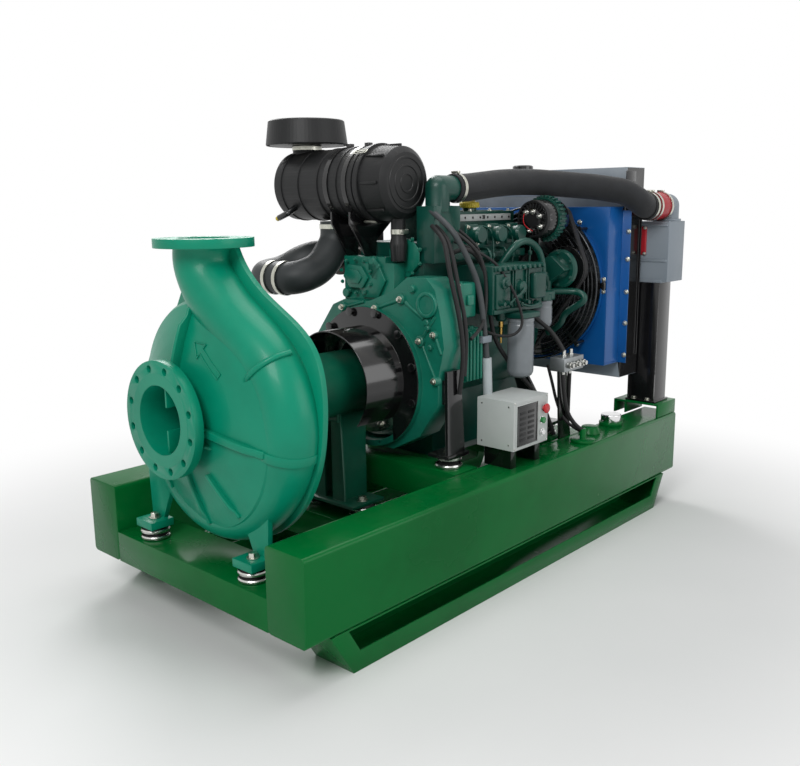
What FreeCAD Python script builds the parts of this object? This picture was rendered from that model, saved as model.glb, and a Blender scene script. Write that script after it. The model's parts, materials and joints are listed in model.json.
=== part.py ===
"""Diesel water pump set: an end-suction volute pump, its diesel engine and radiator on one skid.

Frame: +X runs along the shaft from the suction flange to the radiator, -Y is the side with the
control box, +Z is up, and the origin lies on the ground under the middle of the set.
All sizes are millimetres.
"""
import FreeCAD, Part
import math
import os
import re
import types

import Sketcher

Vector = FreeCAD.Vector
doc = FreeCAD.newDocument("water_pump_set")

# Driving sizes, written to the sheet named Sizes
SIZES = dict(
    skid_length=2100, skid_width=1060, suction_overhang=53,
    beam_width=155, beam_height=252, beam_wall=6, beam_corner=14,
    runner_height=132, runner_wall=6, runner_lip=58, runner_inset=88, runner_slope=79,
    low_member_height=98, low_member_width=190, member_wall=8, high_member_width=120,
    pump_member_centre=632, engine_rear_member=858, engine_front_member=1440,
    high_member_height=110, seat_height=56, seat_length=160, seat_width=200,
    mount_height=40, mount_radius=42,
    foot_to_shaft=400, shaft_to_discharge=500, suction_to_discharge=180,
    suction_bore=200, suction_flange=340, suction_circle=295, suction_thickness=28,
    discharge_bore=150, discharge_flange=285, discharge_circle=240, discharge_thickness=26,
    flange_hole=22, suction_holes=12, discharge_holes=8,
    casing_wall=12, casing_half_width=92, volute_start=318, volute_growth=112,
    volute_start_tube=30, volute_end_tube=84, rim_height=9, rim_width=18, rim_offset=34,
    band_width=26, band_height=6,
    foot_offset=247, foot_length=80, foot_width=85, foot_thickness=24, foot_web=16,
    foot_setback=45, foot_hole=22,
    cover_radius=292, cover_thickness=22, impeller_radius=250, impeller_width=46,
    impeller_hub=46, impeller_wall=7, blade_count=6, blade_thickness=7, running_gap=4,
    shaft_radius=30, shaft_reach=670, bracket_flange=155, bracket_radius=108,
    lantern_length=200, lantern_taper=25, bracket_length=455, bracket_bore=78,
    bearing_radius=65, bearing_width=32, bearing_inset=10, seal_radius=48, seal_length=46,
    leg_width=150, leg_depth=120, leg_plate=10,
    discharge_to_bell=643, bell_radius=244.5, bell_circle=233.35, bell_bore=223.8,
    bell_thickness=20, housing_depth=125, bell_holes=12,
    guard_radius=180, guard_length=175, guard_wall=4,
    flywheel_radius=212, flywheel_recess=40, flywheel_thickness=52,
    drive_ring_radius=196, coupling_radius=150, coupling_width=36, hub_radius=62, hub_length=95,
    block_length=590, block_width=370, block_waist=300, block_height=340, block_below=75,
    sump_width=330, sump_depth=245, sump_inset=40, sump_length=430, sump_wall=5,
    head_height=118, head_width=300, head_inset=15, rocker_height=102, rocker_width=290,
    rocker_inset=167, rocker_length=378, cover_wall=6, cover_depth=12,
    crank_journal=38, crank_throw=60, crank_pin=32, crank_web=100, crank_cavity=115,
    web_thickness=16, end_wall=30, cylinder_pitch=128,
    fit_gap=0.05, face_gap=0.3,
    front_cover_depth=60, pulley_gap=45, belt_width=26, belt_thickness=7,
    crank_pulley_radius=98, fan_side=85, fan_height=265, fan_pulley_radius=78, fan_radius=288,
    fan_hub=70, fan_blades=8, fan_depth=52,
    coolant_side=285, coolant_height=340, coolant_pulley_radius=78,
    alternator_side=250, alternator_height=529, alternator_pulley_radius=38,
    alternator_radius=70, alternator_length=160,
    shroud_station=1700, shroud_depth=110, shroud_width=806, shroud_bottom=623,
    shroud_height=617, shroud_opening=300, shroud_sheet=3, shroud_lip=36,
    core_depth=138, core_width=800, tank_height=105, radiator_bottom=560, radiator_top=1390,
    side_width=14, cooler_depth=102, cooler_width=740, cooler_top=1180, side_tank_width=158,
    post_station=1958, post_length=100, post_width=118, post_wall=8, post_height=500,
    post_inset=32, post_foot=10,
    cleaner_station=870, cleaner_height=1327, cleaner_radius=126, cleaner_near=112,
    cleaner_length=560, cleaner_wall=4, cover_length=118,
    cap_radius=142, cap_height=88, cap_side=380, neck_radius=52, cap_bottom=1471,
    duct_station=670, duct_height=1005, duct_radius=82, duct_bore=58,
    panel_station=950, panel_length=202, panel_height=167, panel_depth=150, panel_lift=67,
    panel_face=500, panel_sheet=3, tank_neck_station=1725, tank_neck_side=430, tank_neck_bore=25,
    hose_radius=48, sleeve_station=1890, sleeve_length=104, pipe_side=472, pipe_corner=2042,
    bolt_head=11, bolt_height=10, engine_foot=12, leg_side=322, leg_sheet=12,
)

# Places worked out from the sizes, written to the sheet named Places
PLACES = dict(
    front="-(skid_length - suction_overhang) / 2",
    rear="front + skid_length",
    beam_top="runner_height + beam_height",
    beam_inner="skid_width / 2 - beam_width",
    beam_middle="skid_width / 2 - beam_width / 2",
    low_top="runner_height + low_member_height",
    pump_base="low_top + mount_height",
    shaft_z="pump_base + foot_to_shaft",
    suction_x="front - suction_overhang",
    discharge_x="suction_x + suction_to_discharge",
    discharge_z="shaft_z + shaft_to_discharge",
    casing_back="discharge_x + casing_half_width",
    shaft_end="discharge_x + shaft_reach",
    bell_x="discharge_x + discharge_to_bell",
    block_x="bell_x + housing_depth",
    block_end="block_x + block_length",
    flywheel_x="bell_x + flywheel_recess",
    head_z="shaft_z + block_height",
    rocker_z="head_z + head_height",
    rocker_x="block_x + rocker_inset",
    front_cover_x="block_end + front_cover_depth",
    belt_x="front_cover_x + pulley_gap",
    fan_z="shaft_z + fan_height",
    coolant_z="shaft_z + coolant_height",
    alternator_z="shaft_z + alternator_height",
    shroud_x="front + shroud_station",
    shroud_back="shroud_x + shroud_depth",
    fan_x="shroud_x - fan_depth * 0.8",
    core_x="shroud_back + shroud_sheet",
    post_x="front + post_station",
    cleaner_x="front + cleaner_station",
    panel_x="front + panel_station",
    duct_x="front + duct_station",
    neck_x="front + tank_neck_station",
)


def make_sheet(name, cells):
    """Write one sheet of named cells, in order."""
    sheet = doc.addObject("Spreadsheet::Sheet", name)
    for row, (alias, content) in enumerate(cells.items(), start=1):
        sheet.set(f"A{row}", alias)
        sheet.set(f"B{row}", content)
        sheet.setAlias(f"B{row}", alias)
    return sheet


def link(text):
    """Point every size name in an expression at its sheet cell."""
    def cell(hit):
        word = hit.group()
        if word in SIZES:
            return "Sizes." + word
        if word in PLACES:
            return "Places." + word
        return word
    return re.sub(r"[a-z]\w*", cell, str(text))


make_sheet("Sizes", {name: str(value) for name, value in SIZES.items()})
make_sheet("Places", {name: "=" + link(text) for name, text in PLACES.items()})
doc.recompute()
size = types.SimpleNamespace(
    **{name: float(doc.Sizes.get(name)) for name in SIZES},
    **{name: float(doc.Places.get(name)) for name in PLACES})

UPRIGHT = FreeCAD.Rotation()
ALONG_X = FreeCAD.Rotation(Vector(0, 1, 0), 90)
ALONG_Y = FreeCAD.Rotation(Vector(1, 0, 0), -90)
TURNS = {"x": ALONG_X, "y": ALONG_Y, "z": UPRIGHT}
WAYS = {"x": Vector(1, 0, 0), "y": Vector(0, 1, 0), "z": Vector(0, 0, 1)}
SHEET_TURNS = {"x": FreeCAD.Rotation(WAYS["y"], WAYS["z"], WAYS["x"], "XYZ"),
               "y": FreeCAD.Rotation(WAYS["x"], 90), "z": UPRIGHT}
nodes = []


def place(item, x=0, y=0, z=0, turn=UPRIGHT):
    """Put an object at three expressions."""
    item.Placement = FreeCAD.Placement(Vector(0, 0, 0), turn)
    for axis, text in zip("xyz", (x, y, z)):
        item.setExpression(f".Placement.Base.{axis}", link(text))
    return item


def bound(kind, label, **texts):
    """Make a primitive whose sizes are expressions."""
    item = doc.addObject(kind, label)
    for name, text in texts.items():
        item.setExpression(name, link(text))
    return item


def box(x, y, z, length, width, height):
    """A block from its lowest corner."""
    return place(bound("Part::Box", "block", Length=length, Width=width, Height=height), x, y, z)


def rod(axis, x, y, z, radius, length):
    """A round bar that starts at a point and runs along an axis."""
    item = bound("Part::Cylinder", "rod", Radius=radius, Height=length)
    return place(item, x, y, z, TURNS[axis])


def cone(axis, x, y, z, radius, end_radius, length):
    """A taper that starts at a point and runs along an axis."""
    item = bound("Part::Cone", "taper", Radius1=radius, Radius2=end_radius, Height=length)
    return place(item, x, y, z, TURNS[axis])


def hoop(axis, x, y, z, radius, wire):
    """A round wire ring about an axis."""
    item = bound("Part::Torus", "ring", Radius1=radius, Radius2=wire)
    return place(item, x, y, z, TURNS[axis])


def ball(x, y, z, radius):
    """A ball at a point."""
    return place(bound("Part::Sphere", "ball", Radius=radius), x, y, z)


def fuse(*items):
    """One solid of several that touch."""
    item = doc.addObject("Part::MultiFuse", "joined")
    item.Shapes = list(items)
    return item


def group(*items):
    """Separate solids in one object."""
    item = doc.addObject("Part::Compound", "pieces")
    item.Links = list(items)
    return item


def cut(base, *tools):
    """Take tools away from a base."""
    item = doc.addObject("Part::Cut", "trimmed")
    item.Base = base
    item.Tool = tools[0] if len(tools) == 1 else fuse(*tools)
    return item


def tube(axis, x, y, z, radius, bore, length):
    """A pipe with a through bore."""
    return cut(rod(axis, x, y, z, radius, length), rod(axis, x, y, z, bore, length))


def outline(points, turn=UPRIGHT):
    """A closed sketch whose corners are held by expressions."""
    sketch = doc.addObject("Sketcher::SketchObject", "outline")
    sketch.Placement = FreeCAD.Placement(Vector(0, 0, 0), turn)
    count = len(points)
    round_guess = [Vector(math.cos(2 * math.pi * i / count), math.sin(2 * math.pi * i / count), 0)
                   for i in range(count)]
    for i in range(count):
        sketch.addGeometry(Part.LineSegment(round_guess[i], round_guess[(i + 1) % count]), False)
    for i in range(count):
        sketch.addConstraint(Sketcher.Constraint("Coincident", i, 2, (i + 1) % count, 1))
    for i, point in enumerate(points):
        for way, text in zip(("DistanceX", "DistanceY"), point):
            index = sketch.addConstraint(Sketcher.Constraint(way, -1, 1, i, 1, 1.0))
            sketch.setExpression(f"Constraints[{index}]", link(text))
    return sketch


def slab(axis, points, start, length):
    """An outline drawn across an axis and pushed along it.

    Across x the points are (y, z), across y they are (x, z) and across z they are (x, y).
    """
    sketch = outline(points, SHEET_TURNS[axis])
    item = doc.addObject("Part::Extrusion", "slab")
    item.Base = sketch
    item.DirMode = "Custom"
    item.Dir = WAYS[axis]
    item.setExpression("LengthFwd", link(length))
    item.Solid = True
    item.setExpression(f".Placement.Base.{axis}", link(start))
    return item


def lathe(axis, points, x=0, y=0, z=0):
    """A turned piece: points are (distance along the axis, radius)."""
    sketch = outline(points)
    item = doc.addObject("Part::Revolution", "turned")
    item.Source = sketch
    item.Axis = Vector(1, 0, 0)
    item.Base = Vector(0, 0, 0)
    item.Angle = 360
    item.Solid = True
    turn = {"x": UPRIGHT, "y": FreeCAD.Rotation(Vector(0, 0, 1), 90),
            "z": FreeCAD.Rotation(Vector(0, 1, 0), -90)}[axis]
    return place(item, x, y, z, turn)


def formed(shape, label="formed"):
    """An object whose shape is built from the sheet's values."""
    item = doc.addObject("Part::Feature", label)
    item.Shape = shape
    return item


def node(name, item):
    """Name a finished sub-part and list it for export."""
    item.Label = name
    nodes.append(item)
    return item


def around(count, radius, start=0.0):
    """Across and up offsets of points on a circle, as expression text."""
    for i in range(int(count)):
        angle = math.radians(start) + 2 * math.pi * i / int(count)
        yield f"({radius}) * {math.cos(angle):.6f}", f"({radius}) * {math.sin(angle):.6f}"


def hose_path(points):
    """Straight runs joined by tangent arcs as large as the runs allow."""
    edges = []
    start = points[0]
    for before, corner, after in zip(points, points[1:], points[2:]):
        into = (corner - before).normalize()
        out = (after - corner).normalize()
        half_turn = into.getAngle(out) / 2
        run = min((corner - before).Length, (after - corner).Length)
        reach = 0.45 * run
        radius = reach / math.tan(half_turn)
        begin, end = corner - into * reach, corner + out * reach
        bisector = (out - into).normalize()
        middle = corner + bisector * (radius / math.cos(half_turn) - radius)
        edges.append(Part.LineSegment(start, begin).toShape())
        edges.append(Part.Arc(begin, middle, end).toShape())
        start = end
    edges.append(Part.LineSegment(start, points[-1]).toShape())
    return Part.Wire(edges)


def hose(points, radius, bore=0.0):
    """A round hose along a route."""
    path = hose_path(points)
    direction = (points[1] - points[0]).normalize()

    def swept(section_radius):
        section = Part.Wire(Part.makeCircle(section_radius, points[0], direction))
        return path.makePipeShell([section], True, False)
    solid = swept(radius)
    return solid.cut(swept(bore)) if bore else solid


def at(x, y, z):
    """A point that is measured along the skid from its front end."""
    return Vector(size.front + x, y, z)


# Skid: two box beams, each on a boat-shaped runner
def skid_beam(name, side):
    """A closed box beam with rounded long edges and a weep hole in its floor."""
    low = "skid_width / 2 - beam_width" if side > 0 else "-skid_width / 2"
    body = doc.addObject("PartDesign::Body", "beam")
    plane = next(f for f in body.Origin.OriginFeatures if f.Role == "YZ_Plane")
    sketch = body.newObject("Sketcher::SketchObject", "beam_section")
    sketch.AttachmentSupport = [(plane, "")]
    sketch.MapMode = "FlatFace"
    corners = [("0", "0"), ("beam_width", "0"), ("beam_width", "beam_height"), ("0", "beam_height")]
    guess = [Vector(0, 0, 0), Vector(1, 0, 0), Vector(1, 1, 0), Vector(0, 1, 0)]
    for i in range(4):
        sketch.addGeometry(Part.LineSegment(guess[i], guess[(i + 1) % 4]), False)
    for i in range(4):
        sketch.addConstraint(Sketcher.Constraint("Coincident", i, 2, (i + 1) % 4, 1))
    for i, corner in enumerate(corners):
        for way, text in zip(("DistanceX", "DistanceY"), corner):
            index = sketch.addConstraint(Sketcher.Constraint(way, -1, 1, i, 1, 1.0))
            sketch.setExpression(f"Constraints[{index}]", link(text))
    pad = body.newObject("PartDesign::Pad", "beam_length")
    pad.Profile = sketch
    pad.setExpression("Length", link("skid_length"))
    doc.recompute()
    long_edges = [f"Edge{i}" for i, edge in enumerate(pad.Shape.Edges, start=1)
                  if abs((edge.lastVertex().Point - edge.firstVertex().Point).x) > size.beam_height]
    fillet = body.newObject("PartDesign::Fillet", "beam_edges")
    fillet.Base = (pad, long_edges)
    fillet.setExpression("Radius", link("beam_corner"))
    body.Tip = fillet
    place(body, "front", low, "runner_height")
    hollow = box("front + beam_wall", f"{low} + beam_wall", "runner_height + beam_wall",
                 "skid_length - 2 * beam_wall", "beam_width - 2 * beam_wall",
                 "beam_height - 2 * beam_wall")
    weep = rod("z", "front + runner_inset + 200", f"{low} + beam_width / 2", "runner_height",
               "6", "beam_wall")
    tools = [hollow, weep]
    if side < 0:
        tools.append(rod("z", "neck_x", "-tank_neck_side", "beam_top - beam_wall",
                         "tank_neck_bore", "beam_wall"))
    return node(name, cut(body, *tools))


skid_beam("left_side_beam", 1)
skid_beam("right_side_beam", -1)


def skid_runner(side):
    """A folded channel under a beam, turned up at both ends like a boat."""
    low = "beam_middle - beam_width / 2" if side > 0 else "-beam_middle - beam_width / 2"
    toe, heel = "front + runner_inset", "rear - runner_inset"
    strip = [(toe, "runner_height"), (f"{toe} + runner_slope", "0"),
             (f"{heel} - runner_slope", "0"), (heel, "runner_height"),
             (f"{heel} - runner_wall * 1.17", "runner_height"),
             (f"{heel} - runner_slope - runner_wall * 0.55", "runner_wall"),
             (f"{toe} + runner_slope + runner_wall * 0.55", "runner_wall"),
             (f"{toe} + runner_wall * 1.17", "runner_height")]
    lip = [(toe, "runner_height"), (f"{toe} + runner_slope", "0"),
           (f"{heel} - runner_slope", "0"), (heel, "runner_height"),
           (f"{heel} - runner_slope * 0.8", "runner_height"),
           (f"{heel} - runner_slope * 1.35", "runner_lip"),
           (f"{toe} + runner_slope * 1.35", "runner_lip"),
           (f"{toe} + runner_slope * 0.8", "runner_height")]
    return fuse(slab("y", strip, low, "beam_width"),
                slab("y", lip, low, "runner_wall"),
                slab("y", lip, f"{low} + beam_width - runner_wall", "runner_wall"))


node("skid_runners", group(skid_runner(1), skid_runner(-1)))


def cross_member(centre, width, top, height):
    """An upturned channel between the two beams."""
    left, right = f"{centre} - {width} / 2", f"{centre} + {width} / 2"
    section = [(left, f"{top} - {height}"), (left, top), (right, top),
               (right, f"{top} - {height}"), (f"{right} - member_wall", f"{top} - {height}"),
               (f"{right} - member_wall", f"{top} - member_wall"),
               (f"{left} + member_wall", f"{top} - member_wall"),
               (f"{left} + member_wall", f"{top} - {height}")]
    return slab("y", section, "-beam_inner", "2 * beam_inner")


def radiator_seat(side):
    """A short channel that stands on the rear end of a beam."""
    outer, inner = (f"{side} * (skid_width / 2 - 5)",
                    f"{side} * (skid_width / 2 - 5 - seat_width)")
    wall = f"{side} * member_wall"
    top = "beam_top + seat_height"
    section = [(outer, "beam_top"), (outer, top), (inner, top), (inner, "beam_top"),
               (f"{inner} + {wall}", "beam_top"), (f"{inner} + {wall}", f"{top} - member_wall"),
               (f"{outer} - {wall}", f"{top} - member_wall"), (f"{outer} - {wall}", "beam_top")]
    return slab("x", section, "rear - seat_length", "seat_length")


node("cross_members", group(
    cross_member("front + low_member_width / 2", "low_member_width", "low_top",
                 "low_member_height"),
    cross_member("front + pump_member_centre", "low_member_width", "low_top",
                 "low_member_height"),
    cross_member("front + engine_rear_member", "high_member_width", "beam_top",
                 "high_member_height"),
    cross_member("front + engine_front_member", "high_member_width", "beam_top",
                 "high_member_height"),
    cross_member("rear - low_member_width / 2", "low_member_width", "low_top",
                 "low_member_height"),
    radiator_seat(1), radiator_seat(-1)))


def radiator_post(side):
    """A square tube post with a foot plate and two gussets."""
    base = "beam_top + seat_height"
    low = ("skid_width / 2 - post_inset - post_width" if side > 0
           else "-skid_width / 2 + post_inset")
    foot = box("post_x - 10", f"{low} - 8", base, "post_length + 20", "post_width + 16",
               "post_foot")
    column = box("post_x", low, f"{base} + post_foot", "post_length", "post_width",
                 "post_height - post_foot")
    inside = box("post_x + post_wall", f"{low} + post_wall", f"{base} + post_foot",
                 "post_length - 2 * post_wall", "post_width - 2 * post_wall",
                 "post_height - post_foot")
    return fuse(cut(column, inside), foot)


node("radiator_posts", group(radiator_post(1), radiator_post(-1)))


# Pump: volute casing
def spiral_section(share, grow):
    """A round section of the volute, part of the way from its tongue to its throat."""
    angle = math.radians(35 - 215 * share)
    radius = size.volute_start_tube + share * (size.volute_end_tube - size.volute_start_tube)
    reach = size.volute_start + share * size.volute_growth - radius
    centre = Vector(size.discharge_x, reach * math.cos(angle),
                    size.shaft_z + reach * math.sin(angle))
    along = Vector(0, math.sin(angle), -math.cos(angle))
    return Part.Wire(Part.makeCircle(radius + grow, centre, along))


def neck_section(share, grow):
    """A round section of the swan neck between the volute's throat and the discharge."""
    side = size.volute_end_tube - size.volute_start - size.volute_growth
    rise = size.shaft_to_discharge - size.discharge_thickness
    ends = [Vector(0, side, 0), Vector(0, side, 0.55 * rise),
            Vector(0, 0, 0.48 * rise), Vector(0, 0, rise)]
    weights = [(1 - share) ** 3, 3 * share * (1 - share) ** 2, 3 * share ** 2 * (1 - share),
               share ** 3]
    centre = Vector(size.discharge_x, 0, size.shaft_z)
    for weight, end in zip(weights, ends):
        centre = centre + end * weight
    along = ((ends[1] - ends[0]) * (1 - share) ** 2 + (ends[2] - ends[1]) * 2 * share * (1 - share)
             + (ends[3] - ends[2]) * share ** 2)
    end_radius = size.discharge_bore / 2 + size.casing_wall
    radius = size.volute_end_tube + share * (end_radius - size.volute_end_tube) + grow
    return Part.Wire(Part.makeCircle(radius, centre, along))


def volute(grow):
    """The horn of the casing, from tongue to discharge, thicker or thinner all round."""
    sections = [spiral_section(i / 10, grow) for i in range(11)]
    sections += [neck_section(i / 5, grow) for i in range(1, 6)]
    return formed(Part.makeLoft(sections, True, False), "volute")


def pump_foot(side):
    """A bolt plate with two webs that run up into the volute."""
    low = f"{side} * foot_offset - foot_width / 2"
    plate = box("front + foot_setback - foot_length / 2 + 15", low, "pump_base", "foot_length",
                "foot_width", "foot_thickness")
    outer, inner = f"{side} * (foot_offset + foot_width / 2)", f"{side} * (foot_offset - 20)"
    web = [(outer, "pump_base + foot_thickness - 2"), (outer, "pump_base + foot_thickness + 20"),
           (f"{side} * 300", "shaft_z - 170"), (f"{side} * 160", "shaft_z - 240"),
           (inner, "pump_base + foot_thickness - 2")]
    return fuse(plate, slab("x", web, "front + foot_setback + 35", "foot_web"))


feet = [pump_foot(1), pump_foot(-1)]
front_dome = lathe("x", [
    ("0", "0"), ("0", "suction_flange / 2"), ("suction_thickness", "suction_flange / 2"),
    ("suction_thickness", "suction_bore / 2 + 18"), ("80", "suction_bore / 2 + 22"),
    ("104", "suction_bore / 2 + 60"), ("118", "cover_radius - 60"),
    ("140", "cover_radius - 6"), ("suction_to_discharge + casing_half_width - 22", "cover_radius - 6"),
    ("suction_to_discharge + casing_half_width - 22", "cover_radius + 10"),
    ("suction_to_discharge + casing_half_width", "cover_radius + 10"),
    ("suction_to_discharge + casing_half_width", "0")], "suction_x", "0", "shaft_z")
chamber = lathe("x", [
    ("-1", "0"), ("-1", "suction_bore / 2"), ("118", "suction_bore / 2"),
    ("suction_to_discharge - impeller_width / 2 - running_gap", "suction_bore / 2 + 6"),
    ("suction_to_discharge - impeller_width / 2 - running_gap", "impeller_radius + 8"),
    ("suction_to_discharge + casing_half_width + 1", "impeller_radius + 8"),
    ("suction_to_discharge + casing_half_width + 1", "0")], "suction_x", "0", "shaft_z")
discharge_plate = rod("z", "discharge_x", "0", "discharge_z - discharge_thickness",
                      "discharge_flange / 2", "discharge_thickness")
discharge_way = rod("z", "discharge_x", "0", "discharge_z - discharge_thickness - 1",
                    "discharge_bore / 2", "discharge_thickness + 2")

def volute_rim():
    """The flat rib that follows the casing's outer edge from the tongue to the swan neck."""
    points = []
    for step in range(16):
        share = step / 15
        angle = math.radians(35 - 215 * share)
        reach = size.volute_start + share * size.volute_growth + size.rim_height
        points.append(Vector(0, reach * math.cos(angle), size.shaft_z + reach * math.sin(angle)))
    side = size.volute_start + size.volute_growth + size.rim_height
    top = size.discharge_z - size.discharge_thickness
    points += [Vector(0, -0.93 * side, size.shaft_z + 0.42 * size.shaft_to_discharge),
               Vector(0, -0.5 * side, size.shaft_z + 0.69 * size.shaft_to_discharge),
               Vector(0, -size.discharge_bore / 2 - size.casing_wall - size.rim_height, top)]
    curve = Part.BSplineCurve()
    curve.interpolate(points)
    end, start = points[-1], points[0]
    inside = Vector(0, size.discharge_bore / 2 + size.casing_wall + 4, top)
    closing = [Part.LineSegment(end, inside), Part.LineSegment(inside, start)]
    face = Part.Face(Part.Wire([curve.toShape()] + [line.toShape() for line in closing]))
    rib = face.extrude(Vector(size.rim_width, 0, 0))
    rib.translate(Vector(size.discharge_x + size.rim_offset, 0, 0))
    return formed(rib, "volute_rim")


def volute_band(share):
    """A raised band round the volute, square to its run."""
    angle = math.radians(35 - 215 * share)
    radius = size.volute_start_tube + share * (size.volute_end_tube - size.volute_start_tube)
    reach = size.volute_start + share * size.volute_growth - radius
    along = Vector(0, math.sin(angle), -math.cos(angle))
    centre = Vector(size.discharge_x, reach * math.cos(angle),
                    size.shaft_z + reach * math.sin(angle)) - along * (size.band_width / 2)
    return formed(Part.makeCylinder(radius + size.band_height, size.band_width, centre, along),
                  "volute_band")


bands = [volute_band(share) for share in (0.14, 0.95)]
rim = volute_rim()
flange_holes = [rod("x", "suction_x - 1", y, f"shaft_z + {z}", "flange_hole / 2",
                    "suction_thickness + 2")
                for y, z in around(size.suction_holes, "suction_circle / 2", 15)]
flange_holes += [rod("z", f"discharge_x + {x}", y, "discharge_z - discharge_thickness - 1",
                     "flange_hole / 2", "discharge_thickness + 2")
                 for x, y in around(size.discharge_holes, "discharge_circle / 2", 22.5)]
foot_holes = [rod("z", "front + foot_setback + 15", f"{side} * foot_offset", "pump_base - 1",
                  "foot_hole / 2", "foot_thickness + 2") for side in (1, -1)]
drain_boss = cone("z", "discharge_x - 40", "-40", "shaft_z - cover_radius - 44", "16", "24", "70")
node("pump_casing", cut(
    fuse(volute(0), front_dome, discharge_plate, rim, drain_boss, *bands, *feet),
    volute(-size.casing_wall), chamber, discharge_way, *flange_holes, *foot_holes))

# Pump: cover, rotor, bracket
node("casing_cover", lathe("x", [
    ("-20", "seal_radius"), ("-20", "impeller_radius + 7.7"), ("0", "impeller_radius + 7.7"),
    ("0", "cover_radius + 10"), ("cover_thickness", "cover_radius + 10"),
    ("cover_thickness", "seal_radius + 34"), ("cover_thickness + 30", "seal_radius + 22"),
    ("cover_thickness + 30", "seal_radius")], "casing_back", "0", "shaft_z"))
node("mechanical_seal", fuse(
    tube("x", "casing_back", "0", "shaft_z", "seal_radius", "shaft_radius + fit_gap",
         "seal_length"),
    tube("x", "casing_back + cover_thickness + 30", "0", "shaft_z", "seal_radius + 14",
         "shaft_radius + fit_gap", "12")))


def blade(index):
    """One backward-curved impeller vane between the two shrouds."""
    turn = 360 * index / size.blade_count
    inner, outer = size.impeller_hub + 24, size.impeller_radius - 2
    steps = 6
    edges = []
    for offset in (-size.blade_thickness / 2, size.blade_thickness / 2):
        points = []
        for step in range(steps + 1):
            radius = inner + (outer - inner) * step / steps
            angle = math.radians(turn + 95 * step / steps) + offset / radius
            points.append(Vector(0, radius * math.cos(angle), radius * math.sin(angle)))
        curve = Part.BSplineCurve()
        curve.interpolate(points)
        edges.append((curve.toShape(), points))
    (low, low_points), (high, high_points) = edges
    ends = [Part.LineSegment(low_points[k], high_points[k]).toShape() for k in (0, -1)]
    face = Part.Face(Part.Wire(Part.__sortEdges__([low, ends[1], high, ends[0]])))
    vane = face.extrude(Vector(size.impeller_width - 2 * size.impeller_wall + 2, 0, 0))
    vane.translate(Vector(size.discharge_x - size.impeller_width / 2 + size.impeller_wall - 1,
                          0, size.shaft_z))
    return vane


hub_disc = lathe("x", [
    ("-6", "shaft_radius + fit_gap"), ("-6", "shaft_radius + 8"), ("18", "impeller_hub"),
    ("impeller_width - impeller_wall", "impeller_hub + 50"),
    ("impeller_width - impeller_wall", "impeller_radius"), ("impeller_width", "impeller_radius"),
    ("impeller_width", "impeller_hub"), ("impeller_width + 20", "impeller_hub"),
    ("impeller_width + 20", "shaft_radius + fit_gap")],
    "discharge_x - impeller_width / 2", "0", "shaft_z")
eye_shroud = lathe("x", [
    ("-26", "suction_bore / 2 - 10"), ("-26", "suction_bore / 2 - 2"),
    ("0", "suction_bore / 2 + 4"), ("0", "impeller_radius"), ("impeller_wall", "impeller_radius"),
    ("impeller_wall", "suction_bore / 2")],
    "discharge_x - impeller_width / 2", "0", "shaft_z")
node("impeller", fuse(hub_disc, eye_shroud,
                      *[formed(blade(i), "vane") for i in range(int(size.blade_count))]))
node("pump_shaft", fuse(
    cone("x", "discharge_x - impeller_width / 2 - 50", "0", "shaft_z", "10", "shaft_radius + 4",
         "43.9"),
    rod("x", "discharge_x - impeller_width / 2 - 6.1", "0", "shaft_z", "shaft_radius",
        "shaft_reach + impeller_width / 2 + 6.1")))

bracket_start = "casing_back + cover_thickness"
bracket_body = lathe("x", [
    ("0", "bracket_flange - 30"), ("0", "bracket_flange + 25"), ("18", "bracket_flange + 25"),
    ("18", "bracket_flange"), ("lantern_length", "bracket_flange - 6"),
    ("lantern_length + lantern_taper", "bracket_radius"),
    ("bracket_length", "bracket_radius"), ("bracket_length", "shaft_radius + 3"),
    ("bracket_length - bearing_inset", "shaft_radius + 3"),
    ("bracket_length - bearing_inset", "bearing_radius + fit_gap"),
    ("bracket_length - bearing_inset - bearing_width", "bearing_radius + fit_gap"),
    ("bracket_length - bearing_inset - bearing_width", "bracket_bore"),
    ("lantern_length + 12 + bearing_width", "bracket_bore"),
    ("lantern_length + 12 + bearing_width", "bearing_radius + fit_gap"),
    ("lantern_length + 12", "bearing_radius + fit_gap"),
    ("lantern_length + 12", "shaft_radius + 3"), ("lantern_length", "shaft_radius + 3"),
    ("lantern_length", "bracket_flange - 30")], bracket_start, "0", "shaft_z")
windows = box(f"{bracket_start} + 60", "-200", "shaft_z - 55", "110", "400", "110")
node("bearing_bracket", cut(bracket_body, windows))
node("shaft_bearings", group(*[
    tube("x", f"{bracket_start} + {reach}", "0", "shaft_z", "bearing_radius",
         "shaft_radius + fit_gap", "bearing_width")
    for reach in ("lantern_length + 12", "bracket_length - bearing_inset - bearing_width")]))

leg_top = "shaft_z - bracket_radius"


def leg_post(side):
    """A folded angle, one half of the pump's rear support."""
    near, far = f"{side} * 18", f"{side} * 76"
    front_face = [(near, "pump_base + leg_plate"), (far, "pump_base + leg_plate"),
                  (f"{side} * 62", f"{leg_top} + 20"), (near, f"{leg_top} + 6")]
    return fuse(slab("x", front_face, "front + pump_member_centre - 50", "leg_plate"),
                box("front + pump_member_centre - 50", f"{side} * 57 - 5",
                    "pump_base + leg_plate", "leg_depth", "leg_plate", f"{leg_top} - pump_base"))


saddle = box("front + pump_member_centre - 60", "-60", f"{leg_top} - 8", "leg_depth + 10", "120",
             "30")
node("pump_support_leg", cut(
    fuse(box("front + pump_member_centre - leg_width / 2", "-140", "pump_base", "leg_width",
             "280", "leg_plate"), leg_post(1), leg_post(-1), saddle),
    rod("x", "front + pump_member_centre - leg_width", "0", "shaft_z",
        "bracket_radius + fit_gap", "2 * leg_width")))

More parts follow.
